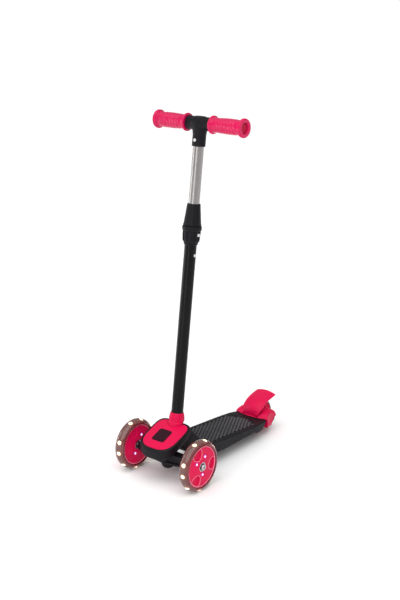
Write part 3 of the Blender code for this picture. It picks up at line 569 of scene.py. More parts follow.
def rib_pockets():
    """The hollows between the ribs under the deck, each with its roof 4 mm below the deck's top."""
    pockets = []
    for x0, x1 in ((-47, -18), (-14.5, 14.5), (18, 47)):
        for y0, y1 in ((118, 150), (154, 192), (196, 234), (238, 276), (280, 308)):
            roof = deck_level(y1 * MM) - 4 * MM
            pockets.append(block((x0 * MM, FRONT_Y + y0 * MM, 0), (x1 * MM, FRONT_Y + y1 * MM, roof)))
    return pockets


def nose():
    """The rounded lip round the cover and the nose's sides below it."""
    lip = [
        (0.5, 3.0), (0.5, 0.6), (1.2, -0.1), (2.8, 0.0), (4.4, 0.9), (5.3, 2.6), (5.5, 5.0), (5.2, 12.0),
    ]
    side = [(4.6, -6.0), (3.4, -2.4), (0.8, 0)]
    rings = [nose_ring(grow * MM, drop * MM, 0) for grow, drop in lip]
    rings += [nose_ring(grow * MM, drop * MM, 1) for grow, drop in side]
    return loft(rings)


def wheel_slot(half):
    """The room for the rear wheel."""
    ahead, behind, height = 39.3 * MM, 50 * MM, 100 * MM
    return block((-half, REAR_Y - ahead, 0), (half, REAR_Y + behind, height))


def make_deck():
    skin = carved(deck_skin(), rib_pockets())
    boss = placed(lathe(mm([(0, -42), (21.5, -42), (21.5, -20), (18.5, -4.5), (0, -4.5)]), 64), STEM)
    body = moulded(merged(skin, nose(), boss), 1.2 * MM, 3)
    body = carved(body, [cover_envelope(0.35 * MM)])
    fork = extruded(fork_outline(), -FORK_HALF, FORK_HALF)
    fork = carved(fork, [wheel_slot(SLOT_HALF)])
    body = carved(body, [wheel_slot(SLOT_HALF)])
    shell = merged(body, moulded(fork, 0.8 * MM, 3))
    add_piece("deck_shell", shell, "black", "chassis", ["deck_body"], sharp=50)


def fork_outline():
    """The rear fork arms from the side, as (y, z) points."""
    outline = [(312 * MM, 26 * MM), (350 * MM, 22.6 * MM)]
    outline += [(352 * MM, 21.6 * MM), *arc((364.6 * MM, 39.4 * MM), 18.9 * MM, -92, -8, 16)]
    outline += arc((364 * MM, 39 * MM), 15.2 * MM, 8, 78, 12)
    outline += [(352 * MM, 54.8 * MM), (342 * MM, 51.2 * MM), (334 * MM, 41.6 * MM), (312 * MM, 41.6 * MM)]
    return outline


def cover_envelope(grow):
    """The rear cover's outer shape, grown by an amount: a domed box whose front edge bows forwards."""
    halves = [
        (322, 50), (329.6, 48.6), (336, 46.5), (345, 44), (355, 42), (365, 40.8), (374, 40.2), (380.5, 39.8),
        (384.3, 39.4),
    ]
    tops = [
        (322, 46.3), (329.6, 51.6), (336, 55), (345, 58), (355, 59.4), (365, 59.2), (374, 56.6),
        (380.5, 51.6),
        (384.3, 45.5),
    ]
    bottoms = [
        (322, 22), (336, 22), (345, 21), (355, 19.6), (365, 19), (374, 21.6), (380.5, 26.5), (384.3, 32.5),
    ]
    front, bowed_length, bow_depth = 322, 23, 12 * MM
    places = [front + 2 * i for i in range(29)] + [379.5, 381, 382.2, 383.3, 384.3]
    rings = []
    for i, y in enumerate(places):
        ends = -grow if i == 0 else grow * (i == len(places) - 1)
        share = (y - front) / bowed_length
        bow = bow_depth * (1 - share) ** 2 if share < 1 else 0
        half = interpolate(halves, y) * MM + grow
        top = interpolate(tops, y) * MM + grow
        bottom = interpolate(bottoms, y) * MM - grow
        section = [(half, bottom)] + [(half, bottom + (top - 7 * MM - bottom) * k / 8) for k in range(1, 9)]
        section += arc((half - 6 * MM, top - 7.5 * MM), 6 * MM, 10, 78, 8)
        section += [(half * u, top - 1.5 * MM * u * u) for u in (0.8, 0.65, 0.5, 0.35, 0.2, 0.1, 0)]
        section += [(-x, z) for x, z in reversed(section[:-1])]
        rings.append([(x, FRONT_Y + y * MM + ends + bow * (x / half) ** 2, z) for x, z in section])
    return loft(rings)


def make_grip_cells():
    """Raised hexagonal cells moulded into the deck's top, in a field that narrows at its back."""
    bm = bmesh.new()
    pitch_x, pitch_y, half_x, half_y = 9.0 * MM, 8.0 * MM, 3.5 * MM, 4.7 * MM
    front, back, field_half, narrowing_from, narrowing = 112 * MM, 300 * MM, 43 * MM, 280 * MM, 1.5
    y, row = front, 0
    while y < back:
        offset = pitch_x / 2 if row % 2 else 0
        for i in range(-5, 6):
            x = i * pitch_x + offset
            limit = field_half - max(0.0, y - narrowing_from) * narrowing
            if abs(x) < limit:
                add_cell(bm, x, y, half_x, half_y)
        y += pitch_y
        row += 1
    # the cells' light grey is a painted sheen
    add_piece("deck_grip_cells", bm, "black_painted_sheen", "chassis", sharp=20)


def add_cell(bm, x, y, half_x, half_y):
    """One cell: a hexagonal bump with a dished middle."""
    rings = []
    for share, rise in ((1.0, -0.5), (0.98, 0.1), (0.78, 0.95), (0.55, 1.0), (0.34, 0.55)):
        ring = []
        for i in range(6):
            turn = math.tau * (i + 0.5) / 6
            px, py = half_x * share * math.cos(turn), half_y * share * math.sin(turn)
            ring.append(bm.verts.new((x + px, FRONT_Y + y + py, deck_level(y + py) + rise * MM)))
        rings.append(ring)
    for first, second in zip(rings, rings[1:]):
        bridge(bm, first, second)
    bm.faces.new(rings[-1])
    bm.faces.new(rings[0][::-1])


def make_deck_field():
    """The matt field that the cells stand on, let into the deck's top. Its black, darker than the moulding's,
    is painted shade between the cells.
    """
    right = [(44, 104), (46, 112), (46, 276), (38, 292), (24, 305)]
    left = [(-x, y) for x, y in reversed(right)]
    corners = left[-1:] + right + left[:-1]
    outline = soften(mm(corners), 5 * MM)
    rings = []
    for rise in (-0.6 * MM, 0.12 * MM):
        rings.append([(x, FRONT_Y + y, deck_level(y) + rise) for x, y in outline])
    add_piece("deck_field", loft(rings), "black_painted_shade", "chassis")


def make_cover_plate():
    """The domed cover on the nose, cut away for the stem's socket and the badge."""
    bm = bmesh.new()
    rows = []
    rim = [(0.0, -2.6 * MM), (0.0, -0.9 * MM), (-0.25 * MM, -0.35 * MM), (-0.8 * MM, 0.0)]
    for grow, rise in rim:
        rows.append([bm.verts.new((x, FRONT_Y + y, plate_level(y) + rise)) for x, y in plate_outline(grow)])
    dome_rings, dome_power, dome_edge = 24, 2.2, rim[-1][0]
    for step in range(1, dome_rings):
        share = 1 - step / dome_rings
        rise = PLATE_CROWN * (1 - share**dome_power)
        row = []
        for x, y in plate_outline(dome_edge):
            px, py = x * share, PLATE_CENTRE + (y - PLATE_CENTRE) * share
            row.append(bm.verts.new((px, FRONT_Y + py, plate_level(py) + rise)))
        rows.append(row)
    for first, second in zip(rows, rows[1:]):
        bridge(bm, first, second)
    top = bm.verts.new((0, FRONT_Y + PLATE_CENTRE, plate_level(PLATE_CENTRE) + PLATE_CROWN))
    for i, vert in enumerate(rows[-1]):
        bm.faces.new((vert, rows[-1][(i + 1) % len(rows[-1])], top))
    bm.faces.new(rows[0][::-1])
    socket_room = placed(lathe(mm([(0, -40), (20.1, -40), (20.1, 60), (0, 60)]), 96), STEM)
    bm = carved(bm, [socket_room, badge_slab(0.35 * MM, -1.3 * MM, 12 * MM)])
    add_piece("cover_plate", bm, "pink", "chassis", ["front_cover"])
    badge = badge_slab(0, -1.1 * MM, 0.1 * MM, True)
    add_piece("badge_inlay", badge, "badge", "chassis", ["cover_badge"])


def badge_slab(grow, low, high, rounded=False):
    """A rounded square in the front cover, between two levels from the cover's highest plane."""
    half, corner, centre = 17.5 * MM + grow, 5 * MM, -13 * MM
    outline = []
    for sx, sy, start in ((1, 1, 0), (-1, 1, 90), (-1, -1, 180), (1, -1, 270)):
        outline += arc((sx * (half - corner), sy * (half - corner)), corner, start, start + 90, 8)
    base, slope = plate_level(centre) + PLATE_CROWN, math.tan(PLATE_SLOPE)
    levels = [(1.0, low), (1.0, high)]
    if rounded:
        edge = [(1.0, high - 0.5 * MM), (0.985, high), (0.90, high)]
        levels = [(1.0, low), *edge, (0.885, high - 0.35 * MM), (0.3, high - 0.1 * MM)]
    rings = []
    for share, rise in levels:
        ring = [(x * share, y * share) for x, y in outline]
        rings.append([(x, FRONT_Y + centre + y, base + slope * y + rise) for x, y in ring])
    return loft(rings)


# ---- stem


def button_hole(along):
    """A hole on the +X side of the stem, a distance along it from its foot."""
    hole = lathe(mm([(0, 9), (4.1, 9), (4.1, 30), (0, 30)]), 40)
    return placed(hole, STEM @ Matrix.Translation((0, 0, along)) @ ACROSS)


def stem_piece(profile, holes, segments=96, height=None):
    """A turned piece of the stem with its button holes, in the shared frame."""
    return carved(placed(lathe(profile, segments, height), STEM), [button_hole(along) for along in holes])


def make_stem():
    socket = mm(
        [
            (14.0, -14), (19.4, -14), (19.4, 0), (19.2, 1.6), (18.2, 3.2), (18.2, 5.4), (17.6, 14.5),
            (16.5, 19.5),
            (15.7, 22.6), (14.9, 24.1), (14.0, 24.3),
        ]
    )
    bell = placed(lathe(dense(soften(socket, 0.5 * MM), 1.5 * MM), 96), STEM)
    into_cover = 1.2 * MM
    below = []
    for y, drop in mm([(-60, 60), (120, 60), (120, 0), (-60, 0)]):
        below.append((y, plate_level(y) + into_cover - drop))
    bell = carved(bell, [extruded(below, -60 * MM, 60 * MM)])
    add_piece("socket_bell", bell, "pink", "chassis", ["stem_socket"], sharp=40)
    tube = mm([(12.5, -38.9), (13.7, -38.9), (13.7, 477.9), (12.5, 477.9)])
    tube = dense(soften(tube, 0.4 * MM), 20 * MM)
    tube = stem_piece(tube, [BUTTON_AT])
    add_piece("lower_stem", tube, "black_paint", "chassis", ["lower_tube"])
    tube = mm([(11, 378.1), (12.2, 378.1), (12.2, 661.9), (11, 661.9)])
    tube = dense(soften(tube, 0.4 * MM), 20 * MM)
    tube = stem_piece(tube, [BUTTON_AT, SECOND_HOLE_AT])
    add_piece("upper_stem", tube, "aluminium", "mast", ["upper_tube"])
    make_collar()


def make_collar():
    """The height collar: a ribbed barrel below and a tapered nut with flats above."""
    rib_count, flat_count = 10, 14
    barrel = mm(
        [
            (14.0, 412.6), (14.4, 412.6), (15.6, 414.4), (17.4, 416.6), (18.6, 420), (19.4, 425),
            (20.0, 436),
            (20.4, 444.6), (21.8, 446.6), (21.9, 449), (21.9, 453.6), (21.2, 454.9), (14.0, 454.9),
        ]
    )

    def ribs(turn, radius, z):
        if radius < 16.5 * MM:
            return 0
        pitch = math.tau / rib_count
        away = abs((turn / pitch) % 1 - 0.5) * pitch * 20 * MM
        below = max(0.0, 423 * MM - z)
        rib = 1 - smoothstep(1.9 * MM, 2.6 * MM, math.hypot(away, below))
        fade = 1 - smoothstep(443 * MM, 444.6 * MM, z)
        return 1.9 * MM * (rib - 0.8) * fade

    outline = dense(soften(barrel, 0.8 * MM), 1.2 * MM)
    barrel = stem_piece(outline, [BUTTON_AT], 240, ribs)
    add_piece("collar_barrel", barrel, "black", "chassis", ["clamp_barrel"])
    nut = mm(
        [
            (14.2, 456.2), (20.2, 456.2), (20.6, 456.8), (20.6, 458.6), (19.6, 459.6), (19.9, 461),
            (15.3, 502.4),
            (14.6, 504.5), (12.6, 504.5), (12.6, 501.6), (14.2, 498.6),
        ]
    )

    def flats(turn, radius, z):
        if radius < 14.8 * MM or z < 459.5 * MM:
            return 0
        pitch = math.tau / flat_count
        off = ((turn / pitch) % 1 - 0.5) * pitch
        flat = math.cos(pitch / 2) / math.cos(off) - 1
        return radius * flat * 0.9

    outline = dense(soften(nut, 0.5 * MM), 1.6 * MM)
    nut = lathe(outline, 280, flats)
    add_piece("collar_nut", nut, "black", "clamp_nut", ["clamp_nut"], STEM, 24)


def make_tee():
    column = mm(
        [
            (0, 630), (14.1, 630), (14.9, 630.8), (15, 632), (15, 655), (16, 663), (17.4, 668.5),
            (17.4, 676), (0, 676),
        ]
    )
    sleeve = mm(
        [
            (0, -32.6), (14.2, -32.6), (15.2, -31.8), (15.2, -26), (14.8, -25), (14.8, -17), (16.2, -9),
            (16.4, 0),
            (16.2, 9), (14.8, 17), (14.8, 25), (15.2, 26), (15.2, 31.8), (14.2, 32.6), (0, 32.6),
        ]
    )
    body = merged(placed(lathe(column, 96), STEM), placed(lathe(sleeve, 96), BAR))
    body = moulded(body, 0.55 * MM, 4)
    front = STEM @ Matrix.Translation((0, 0, TEE_BUTTON_AT)) @ Matrix.Rotation(math.pi / 2, 4, "X")
    hole = placed(lathe(mm([(0, 5), (4.2, 5), (4.2, 30), (0, 30)]), 48), front)
    tube = placed(lathe(mm([(0, 600), (12.4, 600), (12.4, 662.5), (0, 662.5)]), 64), STEM)
    bar = placed(lathe(mm([(0, -60), (11.2, -60), (11.2, 60), (0, 60)]), 64), BAR)
    body = carved(body, [tube, bar, hole])
    add_piece("tee_joint", body, "black", "mast", ["handle_tee"], sharp=50)
    bezel = mm([(4.15, 14.2), (5.3, 14.2), (5.3, 15.1), (4.9, 15.5), (4.15, 15.5)])
    bezel = lathe(soften(bezel, 0.3 * MM), 64)
    add_piece("tee_button_bezel", bezel, "black", "mast", matrix=front)


def grip_ribs(turn, radius, z):
    """The rings round a grip's barrel, which fade out at both ends of the ribbed stretch."""
    low, high, pitch, depth = 50 * MM, 104 * MM, 7.7 * MM, 0.55 * MM
    z = abs(z)
    if radius < 15 * MM or radius > 17.4 * MM or not low < z < high:
        return 0
    fade = smoothstep(low, low + 2 * MM, z) * (1 - smoothstep(high - 2 * MM, high, z))
    return depth * fade * math.cos(math.tau * (z - low) / pitch)


def make_grips():
    grip = [
        (11.4, 33.2), (18.4, 33.2), (19.8, 34.2), (20.1, 35.6), (20.1, 37.4), (19.4, 38.6), (17.6, 39.6),
        (16.2, 42), (15.8, 45), (16.1, 58), (16.8, 76), (16.6, 96), (15.9, 109), (16.1, 111.4),
        (18.2, 113.2),
        (20.4, 114.6), (20.9, 116), (20.9, 119), (20.0, 121.2), (18.4, 121.7), (13.6, 121.7), (12.6, 121.0),
        (12.6, 119.4), (11.4, 119.4),
    ]
    grip = dense(soften(mm(grip), 0.9 * MM), 0.7 * MM)
    plug = mm([(0, 104.2), (9.1, 104.2), (9.1, 112.4), (10.9, 112.4), (10.9, 117), (9.8, 118), (0, 118)])
    plug = soften(plug, 0.6 * MM, closed=False)
    for side, name in ((-1, "left"), (1, "right")):
        rubber = lathe([(r, side * z) for r, z in grip], 128, grip_ribs)
        add_piece(f"handgrip_{name}", rubber, "pink_rubber", "mast", [f"grip_{name}"], BAR, 40)
        end = lathe([(r, side * z) for r, z in plug], 64)
        add_piece(f"grip_end_{name}", end, "pink_end", "mast", [f"bar_plug_{name}"], BAR)


# ---- truck and wheels


def beam_section(half, low, high):
    """The steering beam's cross-section, a bar with a groove along each side, as (y, z) points in mm."""
    inner = half - 4.2
    front = [(half, low + 5), (inner, low + 6.5), (inner, high - 6), (half, high - 4.5), (half, high)]
    return [(-half, low), (half, low), *front, *[(-y, z) for y, z in reversed(front)]]


def make_truck():
    hub = mm([
        (0, -33.9), (9, -33.9), (13.5, -32.2), (15.6, -28.5), (16, -25), (16, 15.4), (15, 16.8), (0, 16.8),
    ])
    sections = [
        (3, 11, 41, 70), (16, 11, 41.4, 70), (30, 10.5, 42.5, 70), (46, 9.9, 44.2, 69.6), (60, 9, 46, 69),
        (72, 8, 50, 68),
    ]
    parts = [placed(lathe(hub, 96), KINGPIN)]
    for side in (-1, 1):
        rings = []
        for x, *section in sections:
            rings.append([(side * x * MM, FRONT_Y + y * MM, z * MM) for y, z in beam_section(*section)])
        parts.append(loft(rings))
        knuckle = [(0, side * 60), (11, side * 60), (11, side * 76), (9, side * 79.8), (0, side * 79.8)]
        parts.append(placed(lathe(mm(knuckle), 64), FRONT_AXLE @ ACROSS))
    body = moulded(merged(*parts), 0.7 * MM, 4)
    pivot = mm([(0, -60), (12.2, -60), (12.2, -20), (5.4, -19.8), (5.4, 60), (0, 60)])
    bores = [placed(lathe(pivot, 64), KINGPIN)]
    for low, high in ((-100, -42), (42, 100)):
        bore = lathe(mm([(0, low), (4.3, low), (4.3, high), (0, high)]), 40)
        bores.append(placed(bore, FRONT_AXLE @ ACROSS))
    add_piece("steering_beam", carved(body, bores), "black", "truck", ["truck_beam"], sharp=50)


# Angles on a wheel count up from straight ahead, in degrees. HUB_LIGHTS holds (radius in mm, angle).
TYRE_LIGHT_ANGLES = (113, 76, 20, -7, -45, -88, -132, -172, 150)
HUB_LIGHTS = {1: ((24, 112), (24, 33), (18, -88)), -1: ((24, 117), (22, -57), (22, 210))}
POCKET_ANGLES = (186, 306, 66)
POCKET_MIDDLE = 35 * MM
POCKET_HALF_ACROSS = 14.5 * MM
POCKET_FLARE = 70 * MM
HUB_BORE = 11.15 * MM
HUB_RIM = 47.95 * MM


def dome_of_light():
    """A lens of radius 1. Its vertices carry how brightly it glows, from 1 on its axis to 0 at its rim."""
    bm = lathe([(math.sin(t), math.cos(t)) for t in [math.pi * i / 24 for i in range(25)]], 32)
    layer = bm.verts.layers.float.new(GLOW)
    for vert in bm.verts:
        vert[layer] = max(0.0, 1 - math.hypot(vert.co.x, vert.co.y)) ** 1.2
    return bm


def on_wheel(radius, angle, side, out):
    """A point in a wheel's frame, an angle up from straight ahead and a distance out along the axle."""
    turn = math.radians(angle)
    return Vector((side * out, -radius * math.cos(turn), radius * math.sin(turn)))


def make_front_wheel(side, name):
    body = f"wheel_{name}"
    centre = Matrix.Translation((side * HALF_TRACK, FRONT_Y, FRONT_RADIUS))
    tyre = [(48.4, -12.2), (49.4, -13.2), (50.6, -13.4)]
    turns = [math.radians(-76 + 8 * i) for i in range(20)]
    tyre += [(48 + 11.9 * math.cos(turn), 13.4 * math.sin(turn)) for turn in turns]
    tyre += [(50.6, 13.4), (49.4, 13.2), (48.4, 12.2), (48.4, 9), (52.6, 9), (52.6, -9), (48.4, -9)]
    tyre = placed(lathe(mm(tyre), 192), ACROSS)
    add_piece(f"clear_tyre_{name}", tyre, "clear", body, [f"tyre_{name}"], centre)
    core = soften(mm([(48.6, -8.6), (52.2, -8.6), (52.2, 8.6), (48.6, 8.6)]), 1.0 * MM)
    core = placed(lathe(core, 144), ACROSS)
    # the core's red glow is painted light
    add_piece(f"light_core_{name}", core, "core", body, [f"light_ring_{name}"], centre)
    add_piece(f"tyre_lights_{name}", tyre_lights(side), "tyre_light", body, matrix=centre)
    # the hub's faint glow is painted light on faces in shade
    add_piece(f"wheel_hub_{name}", hub_solid(side), "pink_hub", body, [f"hub_{name}"], centre, 50)
    for end, where in ((1, "outer"), (-1, "inner")):
        lenses, rings = hub_lights(side, end)
        add_piece(f"hub_lights_{name}_{where}", lenses, "hub_light", body, matrix=centre)
        # the rings' violet is a painted halo round each lens
        add_piece(f"hub_light_rings_{name}_{where}", rings, "hub_painted_halo", body, matrix=centre)
    beads = merged(hub_beads(side, 1), hub_beads(side, -1))
    # the beads' lighter pink is a painted highlight
    add_piece(f"hub_painted_highlight_beads_{name}", beads, "pink_painted_highlight", body, matrix=centre)
    seal = soften(mm([(5.4, 11.0), (8.4, 11.0), (8.4, 12.5), (5.4, 12.5)]), 0.3 * MM)
    seal = placed(lathe([(r, side * z) for r, z in seal], 64), ACROSS)
    add_piece(f"bearing_seal_{name}", seal, "black", body, matrix=centre)
    bolt = wheel_bolt(side)
    add_piece(f"wheel_bolt_{name}", bolt, "steel", "truck", [f"axle_bolt_{name}"], centre)


def tyre_lights(side):
    """The lit lenses in the tyre's tread."""
    lights = bmesh.new()
    for angle in TYRE_LIGHT_ANGLES:
        turn = Matrix.Rotation(math.radians(-angle), 4, "X") @ Matrix.Rotation(math.pi / 2, 4, "X")
        turn = turn @ Matrix.Diagonal((5.4 * MM, 5.6 * MM, 1.3 * MM, 1))
        place = Matrix.Translation(on_wheel(53.2 * MM, angle, side, 0))
        lights = merged(lights, placed(dome_of_light(), place @ turn))
    return lights


def hub_lights(side, end):
    """The lit lenses on one face of a hub, and the violet rings round them, whose colour is a painted halo of
    the lenses' light.
    """
    lenses, rings = bmesh.new(), bmesh.new()
    for radius, angle in HUB_LIGHTS[end]:
        level = hub_level(radius * MM, math.radians(angle), end)
        place = Matrix.Translation(on_wheel(radius * MM, angle, side * end, level))
        place = place @ Matrix.Rotation(side * end * math.pi / 2, 4, "Y")
        lens = placed(dome_of_light(), place @ Matrix.Diagonal((3.2 * MM, 3.2 * MM, 1.0 * MM, 1)))
        lenses = merged(lenses, lens)
        ring = lathe(soften(mm([(3.1, -0.5), (4.0, -0.5), (3.8, 0.3), (3.1, 0.4)]), 0.2 * MM), 40)
        rings = merged(rings, placed(ring, place))
    return lenses, rings


def wheel_bolt(side):
    """The axle bolt: a head with a recess, and its shank through the wheel."""
    head = [(0, 12.6), (6.6, 12.6), (7, 13), (7, 15.8), (6.2, 16.8), (3.2, 16.8), (3.0, 14.4), (0, 14.4)]
    head = lathe([(r, side * z) for r, z in soften(mm(head), 0.35 * MM, closed=False)], 48)
    shank = lathe(mm([(0, side * -41.9), (3.9, side * -41.9), (3.9, side * 12.8), (0, side * 12.8)]), 32)
    return placed(merged(head, shank), ACROSS)


def pocket_reach(radius, off):
    """How far a point lies from a pocket's middle: 1 on its edge."""
    across = radius * math.sin(off)
    along = radius * math.cos(off) - POCKET_MIDDLE
    return math.hypot(across / (POCKET_HALF_ACROSS * (1 + along / POCKET_FLARE)), along / (13.5 * MM))


def hub_face(radius):
    """How far a hub's face, without its pockets, stands from the wheel's middle plane."""
    return 12.4 * MM - 2.2 * MM * smoothstep(10 * MM, 47 * MM, radius)


def hub_level(radius, turn, end):
    """The same with the pockets, which are deep outside (end 1) and shallow inside (end -1)."""
    level = hub_face(radius)
    deepest = 4.6 if end == 1 else 1.2
    for angle in POCKET_ANGLES:
        off = (turn - math.radians(angle) + math.pi) % math.tau - math.pi
        if abs(off) < math.pi / 2:
            depth = deepest * (1 - smoothstep(44.2 * MM, 45.0 * MM, radius))
            level -= depth * MM * (1 - smoothstep(0.80, 0.98, pocket_reach(radius, off)))
    return level


def bead(path, radius):
    """A closed bead of round section along a loop of points about the wheel's axle."""
    sides = 8
    bm = bmesh.new()
    turns = [math.tau * k / sides for k in range(sides)]
    rows = []
    for i, point in enumerate(path):
        along = (path[(i + 1) % len(path)] - path[i - 1]).normalized()
        up = Vector((1, 0, 0)).cross(along).normalized()
        out = along.cross(up)
        section = [(up * math.cos(turn) + out * math.sin(turn)) * radius for turn in turns]
        rows.append([bm.verts.new(point + offset) for offset in section])
    for first, second in zip(rows, rows[1:] + rows[:1]):
        bridge(bm, first, second)
    return bm


def hub_beads(side, end):
    """The raised line round a hub's rim and, on its outer face, round each of its pockets. Its lighter pink
    is a painted highlight along these raised edges.
    """
    rim_at, rim_bead, pocket_bead, widest = 46.6 * MM, 1.0 * MM, 0.7 * MM, 45.4 * MM
    rim_level = hub_face(rim_at) - 0.1 * MM
    parts = [bead([on_wheel(rim_at, 3 * i, side * end, rim_level) for i in range(120)], rim_bead)]
    for angle in POCKET_ANGLES if end == 1 else ():
        loop = []
        for i in range(72):
            turn = math.tau * i / 72
            along = 13.9 * MM * math.cos(turn)
            across = POCKET_HALF_ACROSS * (1 + along / POCKET_FLARE) * 1.03 * math.sin(turn)
            away = math.degrees(math.atan2(across, POCKET_MIDDLE + along))
            radius = min(math.hypot(POCKET_MIDDLE + along, across), widest)
            loop.append(on_wheel(radius, angle + away, side * end, hub_face(radius) - 0.15 * MM))
        parts.append(bead(loop, pocket_bead))
    return merged(*parts)


def hub_solid(side):
    """A front hub: both faces as grids about the axle, joined at the bore and the rim."""
    bm = bmesh.new()
    steps, segments = 62, 240
    radii = [HUB_BORE + (HUB_RIM - HUB_BORE) * i / steps for i in range(steps + 1)]
    rows = []
    for i in range(segments):
        turn = math.tau * i / segments
        outer = [on_wheel(r, math.degrees(turn), side, hub_level(r, turn, 1)) for r in radii]
        inner = [on_wheel(r, math.degrees(turn), side, -hub_level(r, turn, -1)) for r in reversed(radii)]
        rows.append([bm.verts.new(point) for point in outer + inner])
    for first, second in zip(rows, rows[1:] + rows[:1]):
        bridge(bm, first, second)
    return bm


def make_rear_wheel():
    tyre = [(33.6, -9.4), (34.2, -10.2), (35.2, -10.4), (36.6, -9.4), (37.5, -7), (37.9, -3.5), (38, 0)]
    tyre += [(r, -x) for r, x in reversed(tyre[:-1])]
    tyre += [(33.6, 6.5), (32.6, 6.5), (32.6, -6.5), (33.6, -6.5)]
    tyre = placed(lathe(soften(mm(tyre), 0.4 * MM), 144), ACROSS)
    add_piece("rear_tread", tyre, "black_tyre", "rear_wheel", ["rear_tyre"], REAR_AXLE)
    hub = [
        (11.15, -10.9), (14, -10.9), (15, -9.6), (15.6, -6.2), (28.6, -6.2), (30.0, -9.4), (33.4, -9.6),
        (33.4, -6.7), (32.4, -6.7),
    ]
    hub += [(r, -x) for r, x in reversed(hub)]
    hub = placed(lathe(soften(mm(hub), 0.5 * MM), 96), ACROSS)
    add_piece("rear_wheel_hub", hub, "pink_hub", "rear_wheel", ["rear_hub"], REAR_AXLE)


# ---- rear cover and brake


def make_rear_cover():
    """The rear cover: the envelope less the room for the fork, the wheel, and the brake's foot and ears."""
    fork = [(y + (0.3 * MM if y > 360 * MM else 0), z + 0.4 * MM) for y, z in fork_outline() if z > 37.5 * MM]
    fork = [(fork[0][0], 0), *fork, (fork[-1][0], 0)]
    fork_room = extruded(fork, -FORK_HALF - 0.3 * MM, FORK_HALF + 0.3 * MM)
    trim = mm([
        (362, -5), (363.5, 21.5), (368.5, 26), (372, 32), (375.5, 36.4), (384, 37), (420, 37), (420, -5),
    ])
    trim = extruded(trim, -60 * MM, 60 * MM)
    foot = block((-23.7 * MM, FRONT_Y + 325.9 * MM, 40.5 * MM), (23.7 * MM, FRONT_Y + 333 * MM, 100 * MM))
    ears = block((-25.4 * MM, FRONT_Y + 331 * MM, 41.5 * MM), (25.4 * MM, FRONT_Y + 345 * MM, 110 * MM))
    shell = carved(cover_envelope(0), [fork_room, trim, wheel_slot(SLOT_HALF + 0.2 * MM), foot, ears])
    hump = mm([
        (344, 50), (346, 57), (351, 61.5), (358, 64.3), (364, 64.6), (369, 62.4), (373, 57.5), (374, 50),
    ])
    cheeks = [extruded(hump, low * MM, high * MM) for low, high in ((-25, -14.6), (14.6, 25))]
    shell = moulded(merged(shell, *cheeks), 0.45 * MM, 4)
    add_piece("rear_shell", shell, "pink", "chassis", ["rear_cover"], sharp=50)


def fender_line(share):
    """A point of the brake plate's ridge, from its foot at 0 to its tip at 1, on a smooth curve."""
    points = [
        (326.4, 51.5), (327.2, 60.5), (331, 68), (338, 74.8), (348, 81.5), (361, 86.8), (377, 90.6),
        (395, 93.8),
    ]
    place = share * (len(points) - 1)
    i = min(int(place), len(points) - 2)
    t = place - i
    before, first = points[max(i - 1, 0)], points[i]
    second, after = points[i + 1], points[min(i + 2, len(points) - 1)]
    curve = []
    for a, b, c, d in zip(before, first, second, after):
        square, cube = 2 * a - 5 * b + 4 * c - d, 3 * b - a - 3 * c + d
        curve.append(0.5 * (2 * b + (c - a) * t + square * t**2 + cube * t**3))
    return FRONT_Y + curve[0] * MM, curve[1] * MM


def fender_ring(share):
    """The brake plate's cross-section: a crowned sheet with a skirt along each side."""
    y, z = fender_line(share)
    y1, z1 = fender_line(min(share + 0.01, 1.0))
    y0, z0 = fender_line(max(share - 0.01, 0.0))
    along = Vector((0, y1 - y0, z1 - z0)).normalized()
    down = Vector((0, along.z, -along.y))
    wall = 2.6 * MM
    skirt = wall + 5 * MM * max(0.0, 1 - (share / 0.62) ** 2)
    half = 28.3 * MM - 5.2 * MM * max(0.0, 1 - share * 3)
    crown = 5.6 * MM * min(1.0, 0.25 + share * 3)
    depth = crown + skirt
    outer = [(half * u, crown * u * u) for u in [i / 14 - 1 for i in range(29)]]
    inner = [((half - wall) * u, crown * u * u + wall) for u in [1 - i / 14 for i in range(29)]]
    loop = outer + [(half, depth), (half - wall, depth)] + inner + [(wall - half, depth), (-half, depth)]
    return [Vector((x, y, z)) + down * d for x, d in loop]


def cap_fender(shell, ring):
    """Closes an end of the brake plate with strips between its outer and inner lines."""
    last = len(ring) - 3
    for i in range(28):
        shell.faces.new((ring[i], ring[i + 1], ring[last - 1 - i], ring[last - i]))
    shell.faces.new((ring[28], ring[29], ring[30], ring[31]))
    shell.faces.new((ring[last + 2], ring[0], ring[last], ring[last + 1]))


def make_fender():
    steps = 60
    shell = loft([fender_ring(i / steps) for i in range(steps + 1)], caps=False)
    shell.verts.ensure_lookup_table()
    count = len(shell.verts) // (steps + 1)
    cap_fender(shell, shell.verts[:count])
    cap_fender(shell, shell.verts[-count:])
    ear = mm([(333.5, 66)] + arc((334, 48), 5, 180, 360, 16) + [(341, 71)])
    ears = [extruded(ear, low * MM, high * MM) for low, high in ((-21.2, -16.8), (16.8, 21.2))]
    foot = block((-22.4 * MM, FRONT_Y + 326.9 * MM, 47.4 * MM), (22.4 * MM, FRONT_Y + 329.6 * MM, 55 * MM))
    body = moulded(merged(shell, foot, *ears), 0.5 * MM, 3)
    add_piece("brake_plate", body, "pink", "brake", ["brake_fender"], sharp=50)


# ---- carried CAD nodes, stage


def dress_cad_nodes():
    """Gives each CAD node that still shows the look of its slot."""
    slots = {part["node"]: part["material_slot"] for part in frame["record"]["subparts"]}
    for node, piece in frame["nodes"].items():
        for i in range(len(piece.material_slots)):
            piece.material_slots[i].material = LOOKS[slots[node]]


def add_light(name, place, aim, size, power):
    light = bpy.data.lights.new(name, "AREA")
    light.shape = "RECTANGLE"
    light.size, light.size_y = size
    light.energy = power
    lamp = show(bpy.data.objects.new(name, light))
    lamp.location = place
    lamp.rotation_euler = (Vector(aim) - Vector(place)).to_track_quat("-Z", "Y").to_euler()


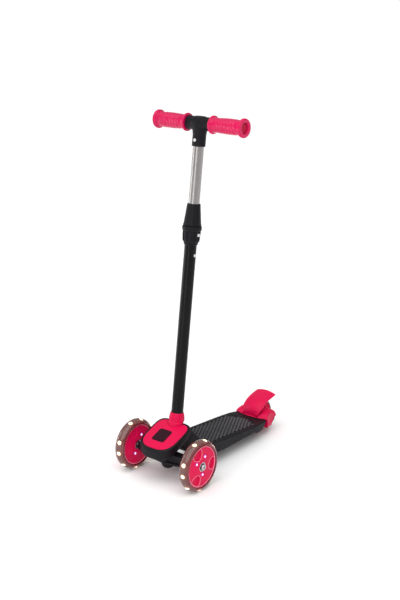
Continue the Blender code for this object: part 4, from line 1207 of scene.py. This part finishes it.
def make_world():
    """White to the camera; a soft dome, darker at the horizon, to the object."""
    world = bpy.data.worlds.new("studio")
    bpy.context.scene.world = world
    world.use_nodes = True
    tree = world.node_tree
    dome = tree.nodes["Background"]
    coords = add_node(tree, "ShaderNodeTexCoord")
    parts = add_node(tree, "ShaderNodeSeparateXYZ")
    tree.links.new(coords.outputs["Generated"], parts.inputs["Vector"])
    height = remap(tree, parts.outputs["Z"], 0.16, 0.80, 0.0, 1.0)
    tree.links.new(height, dome.inputs["Strength"])
    dome.inputs["Color"].default_value = (1, 1, 1, 1)
    backdrop = add_node(tree, "ShaderNodeBackground")
    backdrop.inputs["Color"].default_value = (1, 1, 1, 1)
    path = add_node(tree, "ShaderNodeLightPath")
    mix = add_node(tree, "ShaderNodeMixShader")
    tree.links.new(path.outputs["Is Camera Ray"], mix.inputs["Fac"])
    tree.links.new(dome.outputs["Background"], mix.inputs[1])
    tree.links.new(backdrop.outputs["Background"], mix.inputs[2])
    tree.links.new(mix.outputs["Shader"], tree.nodes["World Output"].inputs["Surface"])


def make_stage():
    scene = bpy.context.scene
    scene.view_settings.view_transform = "Standard"
    make_world()

    reach = 40
    floor_mesh = bpy.data.meshes.new("floor")
    corners = [(-reach, -reach, 0), (reach, -reach, 0), (reach, reach, 0), (-reach, reach, 0)]
    floor_mesh.from_pydata(corners, [], [(0, 1, 2, 3)])
    floor = show(bpy.data.objects.new("floor", floor_mesh))
    material, _, _ = new_material("pale_floor", (0.95, 0.95, 0.95), 0.9)
    floor_mesh.materials.append(material)

    sun = bpy.data.lights.new("sun", "SUN")
    sun.energy = 2.0
    sun.angle = math.radians(70)
    lamp = show(bpy.data.objects.new("sun", sun))
    lamp.rotation_euler = Vector((-0.35, 0.50, -1.0)).to_track_quat("-Z", "Y").to_euler()
    add_light("strip_left", (-1.9, -1.0, 0.8), (0, 0, 0.35), (0.5, 1.4), 10)
    add_light("strip_front", (0.35, -2.5, 0.8), (0, 0, 0.4), (0.35, 1.4), 9)

    camera_data = bpy.data.cameras.new("camera")
    camera_data.sensor_width = 36
    camera_data.lens = 65.47
    camera = show(bpy.data.objects.new("camera", camera_data))
    camera.location = (1.4868, -1.9026, 1.1373)
    camera.rotation_euler = Vector((-0.5972, 0.7452, -0.2967)).to_track_quat("-Z", "Y").to_euler()
    scene.camera = camera


make_deck()
make_deck_field()
make_grip_cells()
make_cover_plate()
make_stem()
make_tee()
make_grips()
make_truck()
make_front_wheel(-1, "left")
make_front_wheel(1, "right")
make_rear_wheel()
make_rear_cover()
make_fender()
dress_cad_nodes()
make_stage()
